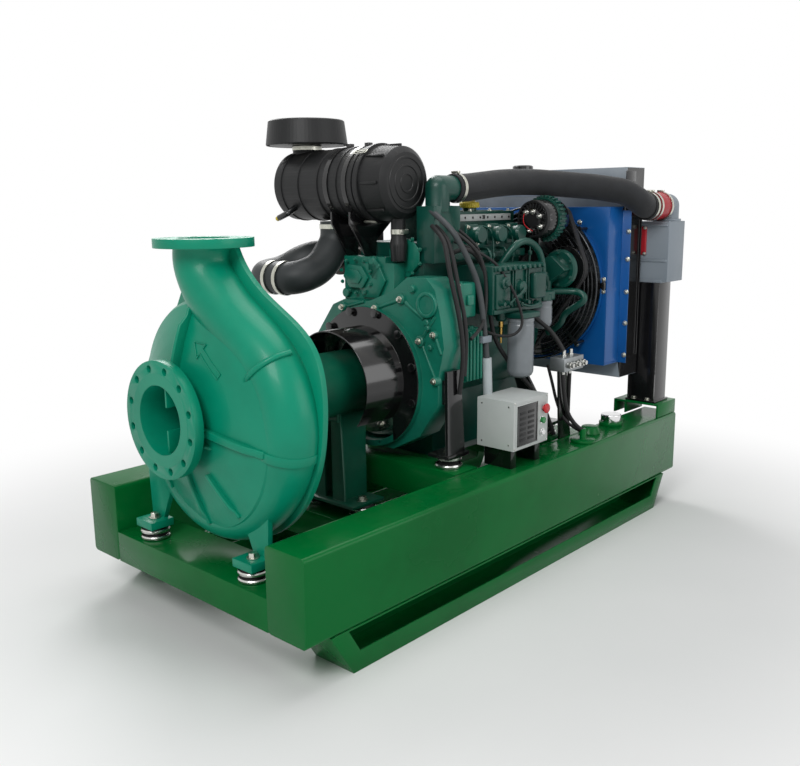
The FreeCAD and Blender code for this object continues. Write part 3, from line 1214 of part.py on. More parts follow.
node("control_box", cut(fuse(panel, display, *panel_feet), panel_inside, *button_holes))


def panel_knob(name, head_radius, head_depth, travel):
    """A round actuator whose stem passes through the panel face."""
    x, z, stem = BUTTONS[name]
    middle_x, middle_z = f"panel_x + {x}", f"{panel_base} + {z}"
    return node(name, fuse(
        rod("y", middle_x, f"-panel_face - {travel} - {head_depth}", middle_z, head_radius,
            head_depth),
        rod("y", middle_x, f"-panel_face - {travel} - 1", middle_z, stem, f"{travel} + 21")))


panel_knob("emergency_stop_button", 17, 10, 6)
panel_knob("start_button", 11, 7, 4)
panel_knob("key_switch", 11, 9, 1)

cap_z = "beam_top + 14"
neck = tube("z", "neck_x", "-tank_neck_side", "beam_top", "46", "tank_neck_bore", "14")
node("fuel_cap", fuse(
    rod("z", "neck_x", "-tank_neck_side", cap_z, "40", "30"),
    rod("z", "neck_x", "-tank_neck_side", f"{cap_z} - 12", "tank_neck_bore - face_gap", "13")))
valve_stand = [("front + 1400", "beam_top"), ("front + 1480", "beam_top"),
               ("front + 1440", "beam_top + 271"), ("front + 1384", "beam_top + 271")]
node("tank_fittings", group(
    neck,
    cone("z", "front + 1562", "-430", "beam_top", "44", "30", "26"),
    fuse(rod("z", "front + 1430", "-478", "beam_top", "46", "10"),
         rod("z", "front + 1430", "-478", "beam_top + 9", "12", "40")),
    fuse(slab("y", valve_stand, "-395", "8"),
         box("front + 1335", "-450", "beam_top + 271", "130", "63", "50"))))

hose_clamps = [tube("x", f"{sleeve_x} + {reach}", "-pipe_side", pipe_z, "hose_radius + 7",
                    "hose_radius + 5 + face_gap", "12") for reach in ("6", "sleeve_length - 18")]
node("bolts_and_clamps", group(*fasteners, *hose_clamps))

doc.recompute()
if len({item.Label for item in nodes}) > 60:
    raise ValueError("more than 60 sub-parts")
for item in doc.Objects:
    if {"Invalid", "Error"} & set(item.State):
        raise ValueError(f"{item.Label} did not build: {item.State}")
os.makedirs("parts", exist_ok=True)
for item in nodes:
    if item.Shape.isNull() or not item.Shape.isValid():
        raise ValueError(f"{item.Label} is not a valid solid")
for item in nodes:
    item.Shape.exportStep(f"parts/{item.Label}.step")
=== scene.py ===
"""Looks of the diesel water pump set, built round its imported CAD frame.

Sizes are written in millimetres. A place along the set is measured from the front end of the skid,
as in the CAD source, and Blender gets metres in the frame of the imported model.
"""

import json
import logging
import math
from dataclasses import dataclass
from enum import Enum
from typing import Any, Iterable, Sequence

import bpy
from mathutils import Matrix, Vector

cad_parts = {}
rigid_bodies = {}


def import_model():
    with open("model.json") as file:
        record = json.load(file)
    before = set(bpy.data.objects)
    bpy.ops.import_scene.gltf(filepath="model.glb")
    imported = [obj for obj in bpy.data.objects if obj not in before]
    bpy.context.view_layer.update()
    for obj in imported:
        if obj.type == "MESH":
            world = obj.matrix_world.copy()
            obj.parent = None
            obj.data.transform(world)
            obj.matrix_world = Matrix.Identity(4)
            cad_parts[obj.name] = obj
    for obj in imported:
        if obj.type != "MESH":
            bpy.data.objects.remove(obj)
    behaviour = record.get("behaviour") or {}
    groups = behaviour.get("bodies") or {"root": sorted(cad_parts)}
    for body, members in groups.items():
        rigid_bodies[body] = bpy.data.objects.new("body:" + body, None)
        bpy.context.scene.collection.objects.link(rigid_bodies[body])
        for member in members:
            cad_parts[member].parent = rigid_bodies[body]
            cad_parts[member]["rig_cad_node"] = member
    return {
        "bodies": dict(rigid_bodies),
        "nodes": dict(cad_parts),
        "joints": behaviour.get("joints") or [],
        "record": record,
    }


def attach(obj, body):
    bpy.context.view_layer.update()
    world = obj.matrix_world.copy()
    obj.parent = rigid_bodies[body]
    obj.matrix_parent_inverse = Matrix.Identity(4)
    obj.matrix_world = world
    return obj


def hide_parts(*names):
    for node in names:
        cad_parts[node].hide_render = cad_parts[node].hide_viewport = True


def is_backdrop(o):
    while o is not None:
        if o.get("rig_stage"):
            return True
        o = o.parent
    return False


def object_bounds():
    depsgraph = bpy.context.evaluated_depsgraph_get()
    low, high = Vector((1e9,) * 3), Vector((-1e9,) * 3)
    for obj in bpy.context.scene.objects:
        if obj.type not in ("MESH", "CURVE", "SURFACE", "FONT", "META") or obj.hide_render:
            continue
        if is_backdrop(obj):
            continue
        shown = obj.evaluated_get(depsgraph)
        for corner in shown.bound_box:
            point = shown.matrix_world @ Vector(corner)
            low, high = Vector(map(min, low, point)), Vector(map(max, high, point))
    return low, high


LOG = logging.getLogger("pump_set")
MM = 0.001
FRONT = -1023.5
STATIC = "frame_and_machine"
MERGE = 0.00002
COAT_GLOSS = 0.12
DUST_DULLING = 0.35
SWELL = 0.4

Point = tuple[float, float, float]
Profile = Sequence[tuple[float, float]]
Colour = tuple[float, float, float]


class Axis(Enum):
    """The direction that a turned or extruded piece runs along."""

    X = "x"
    Y = "y"
    Z = "z"

    def turn(self) -> Matrix:
        """The rotation that takes the x axis to this one."""
        if self is Axis.Y:
            return Matrix.Rotation(math.pi / 2, 4, "Z")
        if self is Axis.Z:
            return Matrix.Rotation(-math.pi / 2, 4, "Y")
        return Matrix.Identity(4)

    def sheet(self) -> Matrix:
        """The rotation that lays a drawing in the xy plane across this axis."""
        if self is Axis.X:
            return Matrix(((0, 0, 1, 0), (1, 0, 0, 0), (0, 1, 0, 0), (0, 0, 0, 1)))
        if self is Axis.Y:
            return Matrix(((1, 0, 0, 0), (0, 0, -1, 0), (0, 1, 0, 0), (0, 0, 0, 1)))
        return Matrix.Identity(4)


def spot(x: float, y: float, z: float) -> Vector:
    """A place along the skid, in metres in the frame of the model.

    Args:
        x: millimetres from the front end of the skid.
        y: millimetres from the shaft's plane, negative on the control box side.
        z: millimetres above the ground.

    Returns:
        The point in metres.
    """
    return Vector(((x + FRONT) * MM, y * MM, z * MM))


def srgb(red: int, green: int, blue: int) -> Colour:
    """A colour as a screen shows it, made linear for a shader.

    Args:
        red: red from 0 to 255.
        green: green from 0 to 255.
        blue: blue from 0 to 255.

    Returns:
        The linear colour.
    """
    def linear(value: int) -> float:
        share = value / 255
        return share / 12.92 if share <= 0.04045 else ((share + 0.055) / 1.055) ** 2.4
    return linear(red), linear(green), linear(blue)


# Bench tools: how each new piece is shaped


def take(*pieces: bpy.types.Object) -> None:
    """Select these objects and nothing else."""
    bpy.ops.object.select_all(action="DESELECT")
    for piece in pieces:
        piece.select_set(True)
    bpy.context.view_layer.objects.active = pieces[0]


def start_vertex(name: str, x: float, y: float) -> bpy.types.Object:
    """Begin a line drawing at one point of the xy plane, in edit mode.

    Args:
        name: the object's name.
        x: first coordinate in millimetres.
        y: second coordinate in millimetres.

    Returns:
        The object that is being drawn.
    """
    bpy.ops.object.select_all(action="DESELECT")
    bpy.ops.mesh.primitive_plane_add(size=0.01)
    piece = bpy.context.object
    piece.name = name
    bpy.ops.object.mode_set(mode="EDIT")
    bpy.ops.mesh.select_all(action="SELECT")
    bpy.ops.mesh.merge(type="CENTER")
    bpy.ops.transform.translate(value=(x * MM, y * MM, 0))
    return piece


def draw_line(points: Profile) -> None:
    """Draw on from the selected vertex through the next points."""
    for (x0, y0), (x1, y1) in zip(points, points[1:]):
        bpy.ops.mesh.extrude_region_move(
            TRANSFORM_OT_translate={"value": ((x1 - x0) * MM, (y1 - y0) * MM, 0)})


def close_up(piece: bpy.types.Object, matrix: Matrix) -> bpy.types.Object:
    """Merge doubles, turn the faces outwards, leave edit mode and put the mesh in its place."""
    bpy.ops.mesh.select_all(action="SELECT")
    bpy.ops.mesh.remove_doubles(threshold=MERGE)
    bpy.ops.mesh.normals_make_consistent(inside=False)
    bpy.ops.object.mode_set(mode="OBJECT")
    piece.data.transform(matrix)
    piece.matrix_world = Matrix.Identity(4)
    return piece


def draw_face(name: str, corners: Profile, depth: float) -> bpy.types.Object:
    """Draw a closed outline, fill it and pull it out along z, staying in edit mode.

    Args:
        name: the object's name.
        corners: the outline in the xy plane, in millimetres.
        depth: how far the face is pulled out.

    Returns:
        The object that is being drawn.
    """
    piece = start_vertex(name, *corners[0])
    draw_line([*corners, corners[0]])
    bpy.ops.mesh.select_all(action="SELECT")
    bpy.ops.mesh.remove_doubles(threshold=MERGE)
    bpy.ops.mesh.edge_face_add()
    bpy.ops.mesh.extrude_region_move(TRANSFORM_OT_translate={"value": (0, 0, depth * MM)})
    return piece


def turned(name: str, profile: Profile, place: Vector, axis: Axis = Axis.X,
           steps: int = 48) -> bpy.types.Object:
    """A turned piece, spun from its half section.

    Args:
        name: the object's name.
        profile: points of (distance along the axis, radius) in millimetres.
        place: where distance 0 of the profile lies.
        axis: the axis of the piece.
        steps: how many facets go round.

    Returns:
        The new object.
    """
    if max(profile[0][1], profile[-1][1]) > 0 and profile[0] != profile[-1]:
        profile = [*profile, profile[0]]
    piece = start_vertex(name, *profile[0])
    draw_line(profile)
    bpy.ops.mesh.select_all(action="SELECT")
    bpy.ops.mesh.spin(steps=steps, angle=2 * math.pi, center=(0, 0, 0), axis=(1, 0, 0))
    return close_up(piece, Matrix.Translation(place) @ axis.turn())


def hoop(half_width: float, inner: float, outer: float) -> Profile:
    """The half section of a flat ring, for `turned`."""
    return [(-half_width, inner), (-half_width, outer), (half_width, outer), (half_width, inner)]


def swing(place: Point, degrees: float, axis: str) -> Matrix:
    """The matrix that turns a piece round a place of the skid.

    Args:
        place: the point that stays still, in millimetres.
        degrees: how far it turns.
        axis: X, Y or Z.

    Returns:
        The matrix for the piece's mesh.
    """
    home = Matrix.Translation(spot(*place))
    return home @ Matrix.Rotation(math.radians(degrees), 4, axis) @ home.inverted()


def plate(name: str, corners: Profile, start: float, thickness: float, axis: Axis = Axis.X,
          bevel: float = 1.5) -> bpy.types.Object:
    """A flat piece cut to an outline.

    Args:
        name: the object's name.
        corners: the outline; (y, z) across x, (x, z) across y and (x, y) across z.
        start: where the plate begins on its axis, in millimetres.
        thickness: how far it runs from there.
        axis: the direction across the plate.
        bevel: width of its broken edges.

    Returns:
        The new object.
    """
    piece = draw_face(name, corners, -thickness if axis is Axis.Y else thickness)
    shift = {Axis.X: (start + FRONT, 0, 0), Axis.Y: (FRONT, start, 0), Axis.Z: (FRONT, 0, start)}
    matrix = Matrix.Translation(Vector(shift[axis]) * MM) @ axis.sheet()
    close_up(piece, matrix)
    return broken_edges(piece, bevel)


def block(name: str, low: Point, high: Point, bevel: float = 2.0,
          segments: int = 2) -> bpy.types.Object:
    """A box with rounded edges.

    Args:
        name: the object's name.
        low: lowest corner, along the skid, in millimetres.
        high: highest corner.
        bevel: radius of the edges.
        segments: how many facets round an edge.

    Returns:
        The new object.
    """
    bottom, top = spot(*low), spot(*high)
    bpy.ops.object.select_all(action="DESELECT")
    bpy.ops.mesh.primitive_cube_add(size=1)
    piece = bpy.context.object
    piece.name = name
    bpy.ops.object.mode_set(mode="EDIT")
    bpy.ops.mesh.select_all(action="SELECT")
    bpy.ops.transform.resize(value=tuple(top - bottom))
    bpy.ops.transform.translate(value=tuple((top + bottom) / 2))
    close_up(piece, Matrix.Identity(4))
    return broken_edges(piece, bevel, segments)


def broken_edges(piece: bpy.types.Object, width: float, segments: int = 2,
                 angle: float = 35) -> bpy.types.Object:
    """Round the sharp edges of a mesh and smooth the rest.

    Args:
        piece: the mesh object.
        width: width of the rounding in millimetres; 0 leaves the edges sharp.
        segments: facets across each rounded edge.
        angle: edges sharper than this are rounded.

    Returns:
        The same object.
    """
    take(piece)
    if width:
        bevel = piece.modifiers.new("broken_edges", "BEVEL")
        bevel.width = width * MM
        bevel.segments = segments
        bevel.limit_method = "ANGLE"
        bevel.angle_limit = math.radians(angle)
        bpy.ops.object.modifier_apply(modifier=bevel.name)
    bpy.ops.object.shade_smooth_by_angle(angle=math.radians(38))
    return piece


def curve_line(name: str, points: Iterable[Vector], radius: float,
               sides: int = 4) -> bpy.types.Object:
    """A round line along smooth control points, made a mesh.

    Args:
        name: the object's name.
        points: control points in metres.
        radius: half its thickness, in millimetres.
        sides: quality of the round section.

    Returns:
        The new mesh object.
    """
    path = [Vector(point) for point in points]
    curve = bpy.data.curves.new(name, "CURVE")
    curve.dimensions = "3D"
    curve.resolution_u = 8
    curve.bevel_depth = radius * MM
    curve.bevel_resolution = sides
    curve.use_fill_caps = True
    spline = curve.splines.new("NURBS")
    spline.points.add(len(path) - 1)
    for knot, point in zip(spline.points, path):
        knot.co = (*point, 1)
    spline.order_u = min(3, len(path))
    spline.use_endpoint_u = True
    piece = bpy.data.objects.new(name, curve)
    bpy.context.scene.collection.objects.link(piece)
    take(piece)
    bpy.ops.object.convert(target="MESH")
    piece = bpy.context.object
    bpy.ops.object.shade_smooth_by_angle(angle=math.radians(50))
    return piece


def joined(name: str, pieces: Sequence[bpy.types.Object]) -> bpy.types.Object:
    """Join meshes into one named object."""
    take(*pieces)
    if len(pieces) > 1:
        bpy.ops.object.join()
    piece = bpy.context.object
    piece.name = name
    piece.data.name = name
    return piece


def copied(template: bpy.types.Object, matrices: Iterable[Matrix]) -> list[bpy.types.Object]:
    """Copies of a finished mesh, each with its own mesh; the template is used up."""
    copies = []
    for matrix in matrices:
        take(template)
        bpy.ops.object.duplicate()
        copy = bpy.context.object
        copy.data.transform(matrix)
        copies.append(copy)
    bpy.data.objects.remove(template)
    return copies


def hex_bolt(across: float, height: float, washer: bool = True) -> bpy.types.Object:
    """One bolt head at the origin, standing up along x on its washer."""
    bpy.ops.object.select_all(action="DESELECT")
    bpy.ops.mesh.primitive_cylinder_add(vertices=6, radius=across * MM / math.sqrt(3),
                                        depth=height * MM)
    head = bpy.context.object
    bpy.ops.object.mode_set(mode="EDIT")
    bpy.ops.mesh.select_all(action="SELECT")
    base = 2.2 if washer else 0.0
    bpy.ops.transform.translate(value=(0, 0, (base + height / 2) * MM))
    close_up(head, Matrix.Rotation(math.pi / 2, 4, "Y"))
    broken_edges(head, across * 0.07, 2)
    if not washer:
        return head
    ring = turned("washer", [(0, 0), (0, across * 0.78), (1.8, across * 0.78), (2.2, across * 0.72),
                             (2.2, 0)], Vector(), steps=20)
    return joined("bolt", [head, ring])


def bolts(name: str, places: Iterable[Vector], across: float, height: float,
          way: Vector = Vector((-1, 0, 0)), washer: bool = True) -> bpy.types.Object:
    """A set of equal bolt heads that stand on a face.

    Args:
        name: the object's name.
        places: their centres on the face, in metres.
        across: width across the flats in millimetres.
        height: height of a head.
        way: the direction in which the heads stand up.
        washer: whether each has a washer.

    Returns:
        One object with all of them.
    """
    turn = Vector((1, 0, 0)).rotation_difference(way).to_matrix().to_4x4()
    matrices = []
    for number, place in enumerate(places):
        spin = Matrix.Rotation(0.7 * number, 4, "X")
        matrices.append(Matrix.Translation(place) @ turn @ spin)
    return joined(name, copied(hex_bolt(across, height, washer), matrices))


def ring_of(count: int, radius: float, first: float = 0.0) -> list[tuple[float, float]]:
    """Points on a circle, as (across, up) in millimetres.

    Args:
        count: how many.
        radius: of the circle.
        first: angle of the first, in degrees.

    Returns:
        The list of points.
    """
    angles = [math.radians(first + 360 * i / count) for i in range(count)]
    return [(radius * math.cos(angle), radius * math.sin(angle)) for angle in angles]


# Shader node groups that several finishes share


class NodeKit:
    """Builds shader trees from short calls."""

    def __init__(self, tree: bpy.types.NodeTree) -> None:
        self.tree = tree

    def add(self, kind: str, **values: Any) -> bpy.types.Node:
        """A node with some of its properties or inputs set.

        Args:
            kind: the node type without its ShaderNode prefix.
            **values: properties of the node, or values of inputs by name with _ for a space.

        Returns:
            The node.
        """
        node = self.tree.nodes.new("ShaderNode" + kind)
        for name, value in values.items():
            if hasattr(node, name):
                setattr(node, name, value)
            else:
                node.inputs[name.replace("_", " ")].default_value = value
        return node

    def link(self, source: bpy.types.NodeSocket, target: bpy.types.NodeSocket) -> None:
        """Join two sockets."""
        self.tree.links.new(source, target)

    def math(self, operation: str, first: Any, second: Any = 0.0) -> bpy.types.NodeSocket:
        """One sum of two values or sockets."""
        node = self.add("Math", operation=operation)
        for index, value in enumerate((first, second)):
            if isinstance(value, bpy.types.NodeSocket):
                self.link(value, node.inputs[index])
            else:
                node.inputs[index].default_value = value
        return node.outputs[0]

    def noise(self, scale: Any, **values: Any) -> bpy.types.NodeSocket:
        """Clouds in object coordinates.

        Args:
            scale: how fine they are, as a value or a socket.
            **values: other inputs of the noise node.

        Returns:
            The socket with their value.
        """
        node = self.add("TexNoise", **values)
        self.link(self.add("TexCoord").outputs["Object"], node.inputs["Vector"])
        if isinstance(scale, bpy.types.NodeSocket):
            self.link(scale, node.inputs["Scale"])
        else:
            node.inputs["Scale"].default_value = scale
        return node.outputs[0]

    def blend(self, share: bpy.types.NodeSocket, first: bpy.types.Node, second: bpy.types.Node,
              output: bpy.types.Node) -> None:
        """Mix two shaders into the surface of an output node."""
        node = self.add("MixShader")
        for source, socket in zip((share, first.outputs[0], second.outputs[0]), node.inputs):
            self.link(source, socket)
        self.link(node.outputs[0], output.inputs["Surface"])

    def ramp(self, source: bpy.types.NodeSocket, low: float, high: float) -> bpy.types.NodeSocket:
        """A smooth step of a value between two limits."""
        node = self.add("MapRange", interpolation_type="SMOOTHSTEP")
        node.inputs["From Min"].default_value = low
        node.inputs["From Max"].default_value = high
        self.link(source, node.inputs["Value"])
        return node.outputs["Result"]

    def mix(self, share: Any, first: Any, second: Any) -> bpy.types.NodeSocket:
        """A blend of two colours."""
        node = self.add("Mix", data_type="RGBA")
        for socket, value in ((node.inputs[0], share), (node.inputs[6], first),
                              (node.inputs[7], second)):
            if isinstance(value, bpy.types.NodeSocket):
                self.link(value, socket)
            elif isinstance(value, (int, float)):
                socket.default_value = value
            else:
                socket.default_value = (*value[:3], 1)
        return node.outputs[2]


def new_group(name: str, inputs: dict[str, Any], outputs: dict[str, str]) -> tuple[
        NodeKit, bpy.types.Node, bpy.types.Node]:
    """Start a shader node group with named sockets.

    Args:
        name: the group's name.
        inputs: socket name to default value; a tuple makes a colour.
        outputs: socket name to socket type.

    Returns:
        The node kit of the group, its input node and its output node.
    """
    tree = bpy.data.node_groups.new(name, "ShaderNodeTree")
    for label, value in inputs.items():
        kind = "NodeSocketColor" if isinstance(value, tuple) else "NodeSocketFloat"
        socket = tree.interface.new_socket(label, in_out="INPUT", socket_type=kind)
        socket.default_value = (*value, 1) if isinstance(value, tuple) else value
    for label, kind in outputs.items():
        tree.interface.new_socket(label, in_out="OUTPUT", socket_type=kind)
    kit = NodeKit(tree)
    return kit, tree.nodes.new("NodeGroupInput"), tree.nodes.new("NodeGroupOutput")


class Effects:
    """The effects that the finishes share, each a node group made once."""

    def __init__(self) -> None:
        self.shade = self._shade()
        self.edges = self._edges()
        self.dust = self._dust()
        self.sand = self._sand()
        self.scratches = self._scratches()

    @staticmethod
    def _shade() -> bpy.types.NodeTree:
        """Slow changes of tone and gloss over a surface."""
        kit, given, out = new_group(
            "tone_and_gloss", {"Colour": (0.5, 0.5, 0.5), "Second": (0.4, 0.4, 0.4), "Scale": 6.0,
                               "Amount": 0.5, "Gloss": 0.4, "Gloss spread": 0.1},
            {"Colour": "NodeSocketColor", "Roughness": "NodeSocketFloat"})
        slow = kit.noise(given.outputs["Scale"], Detail=4.0, Roughness=0.6)
        share = kit.math("MULTIPLY", kit.ramp(slow, 0.35, 0.72), given.outputs["Amount"])
        kit.link(kit.mix(share, given.outputs["Colour"], given.outputs["Second"]), out.inputs[0])
        spread = kit.math("MULTIPLY", kit.math("SUBTRACT", slow, 0.5), given.outputs["Gloss spread"])
        kit.link(kit.math("ADD", given.outputs["Gloss"], spread), out.inputs[1])
        return kit.tree

    @staticmethod
    def _edges() -> bpy.types.NodeTree:
        """A mask of the outer edges, broken up as wear is."""
        kit, given, out = new_group("worn_edges", {"Width": 0.002, "Scale": 60.0},
                                    {"Mask": "NodeSocketFloat"})
        rounded = kit.add("Bevel", samples=4)
        kit.link(given.outputs["Width"], rounded.inputs["Radius"])
        surface = kit.add("NewGeometry")
        dot = kit.add("VectorMath", operation="DOT_PRODUCT")
        kit.link(rounded.outputs[0], dot.inputs[0])
        kit.link(surface.outputs["Normal"], dot.inputs[1])
        speck = kit.noise(given.outputs["Scale"], Detail=3.0)
        away = kit.math("SUBTRACT", 1.0, dot.outputs["Value"])
        mask = kit.math("MULTIPLY", kit.ramp(away, 0.01, 0.16), kit.ramp(speck, 0.45, 0.62))
        kit.link(mask, out.inputs[0])
        return kit.tree

    @staticmethod
    def _dust() -> bpy.types.NodeTree:
        """A mask of what settles on faces that look up."""
        kit, given, out = new_group("settled_dust", {"Amount": 0.4, "Scale": 14.0},
                                    {"Mask": "NodeSocketFloat"})
        surface = kit.add("NewGeometry")
        parts = kit.add("SeparateXYZ")
        kit.link(surface.outputs["Normal"], parts.inputs[0])
        cloud = kit.noise(given.outputs["Scale"], Detail=6.0, Roughness=0.65)
        up = kit.ramp(parts.outputs["Z"], 0.3, 0.95)
        mask = kit.math("MULTIPLY", up, kit.ramp(cloud, 0.4, 0.75))
        kit.link(kit.math("MULTIPLY", mask, given.outputs["Amount"]), out.inputs[0])
        return kit.tree

    @staticmethod
    def _sand() -> bpy.types.NodeTree:
        """The height of a sand-cast or moulded skin."""
        kit, given, out = new_group("cast_skin", {"Grain": 300.0, "Swell": 18.0, "Swell share": 0.5},
                                    {"Height": "NodeSocketFloat"})
        fine, broad = (kit.noise(given.outputs[label], Detail=2.0) for label in ("Grain", "Swell"))
        swell = kit.math("MULTIPLY", broad, given.outputs["Swell share"])
        kit.link(kit.math("ADD", fine, swell), out.inputs[0])
        return kit.tree

    @staticmethod
    def _scratches() -> bpy.types.NodeTree:
        """The height of fine tool marks that run one way."""
        kit, given, out = new_group("tool_marks", {"Along": 4.0, "Across": 500.0},
                                    {"Height": "NodeSocketFloat"})
        place = kit.add("TexCoord")
        stretch = kit.add("CombineXYZ")
        for label, socket in zip(("Along", "Across", "Across"), stretch.inputs):
            kit.link(given.outputs[label], socket)
        scaled = kit.add("VectorMath", operation="MULTIPLY")
        kit.link(place.outputs["Object"], scaled.inputs[0])
        kit.link(stretch.outputs[0], scaled.inputs[1])
        marks = kit.add("TexNoise", Scale=1.0, Detail=3.0)
        kit.link(scaled.outputs[0], marks.inputs["Vector"])
        kit.link(marks.outputs[0], out.inputs[0])
        return kit.tree


@dataclass(frozen=True)
class Finish:
    """One surface finish and the values that make it."""

    name: str
    colour: Colour
    second: Colour
    gloss: float = 0.4
    gloss_spread: float = 0.12
    tone_scale: float = 5.0
    tone_amount: float = 0.5
    metal: float = 0.0
    coat: float = 0.0
    sheen: float = 0.0
    grain: float = 250.0
    grain_depth: float = 0.0
    brushed: float = 0.0
    dust: float = 0.0
    dust_colour: Colour = (0.30, 0.28, 0.24)
    wear: float = 0.0
    wear_colour: Colour = (0.35, 0.34, 0.32)
    soft_edge: float = 0.0008
    shine: float = 0.32
    slot: str = ""

    def material(self, effects: Effects) -> bpy.types.Material:
        """Build the material.

        Args:
            effects: the shared node groups.

        Returns:
            The new material.
        """
        material = bpy.data.materials.new(self.name)
        material.use_nodes = True
        kit = NodeKit(material.node_tree)
        shader = material.node_tree.nodes["Principled BSDF"]
        tone = kit.add("Group", node_tree=effects.shade, Colour=(*self.colour, 1),
                       Second=(*self.second, 1), Scale=self.tone_scale, Amount=self.tone_amount,
                       Gloss=self.gloss, Gloss_spread=self.gloss_spread)
        colour, rough = tone.outputs["Colour"], tone.outputs["Roughness"]
        if self.wear:
            edges = kit.add("Group", node_tree=effects.edges)
            share = kit.math("MULTIPLY", edges.outputs[0], self.wear)
            colour = kit.mix(share, colour, self.wear_colour)
        if self.dust:
            dust = kit.add("Group", node_tree=effects.dust, Amount=self.dust)
            colour = kit.mix(dust.outputs[0], colour, self.dust_colour)
            rough = kit.math("ADD", rough, kit.math("MULTIPLY", dust.outputs[0], DUST_DULLING))
        kit.link(colour, shader.inputs["Base Color"])
        kit.link(rough, shader.inputs["Roughness"])
        for label, value in (("Metallic", self.metal), ("Coat Weight", self.coat),
                             ("Coat Roughness", COAT_GLOSS), ("Specular IOR Level", self.shine),
                             ("Sheen Weight", self.sheen)):
            shader.inputs[label].default_value = value
        self._relief(kit, effects, shader)
        return material

    def _relief(self, kit: NodeKit, effects: Effects, shader: bpy.types.Node) -> None:
        """Give the shader its soft edges and its fine relief."""
        normal = kit.add("Bevel", samples=3, Radius=self.soft_edge).outputs[0]
        for effect, depth, values in (
                (effects.sand, self.grain_depth, {"Grain": self.grain, "Swell_share": SWELL}),
                (effects.scratches, self.brushed, {})):
            if not depth:
                continue
            height = kit.add("Group", node_tree=effect, **values)
            bump = kit.add("Bump", Strength=depth, Distance=MM)
            kit.link(height.outputs[0], bump.inputs["Height"])
            kit.link(normal, bump.inputs["Normal"])
            normal = bump.outputs[0]
        kit.link(normal, shader.inputs["Normal"])


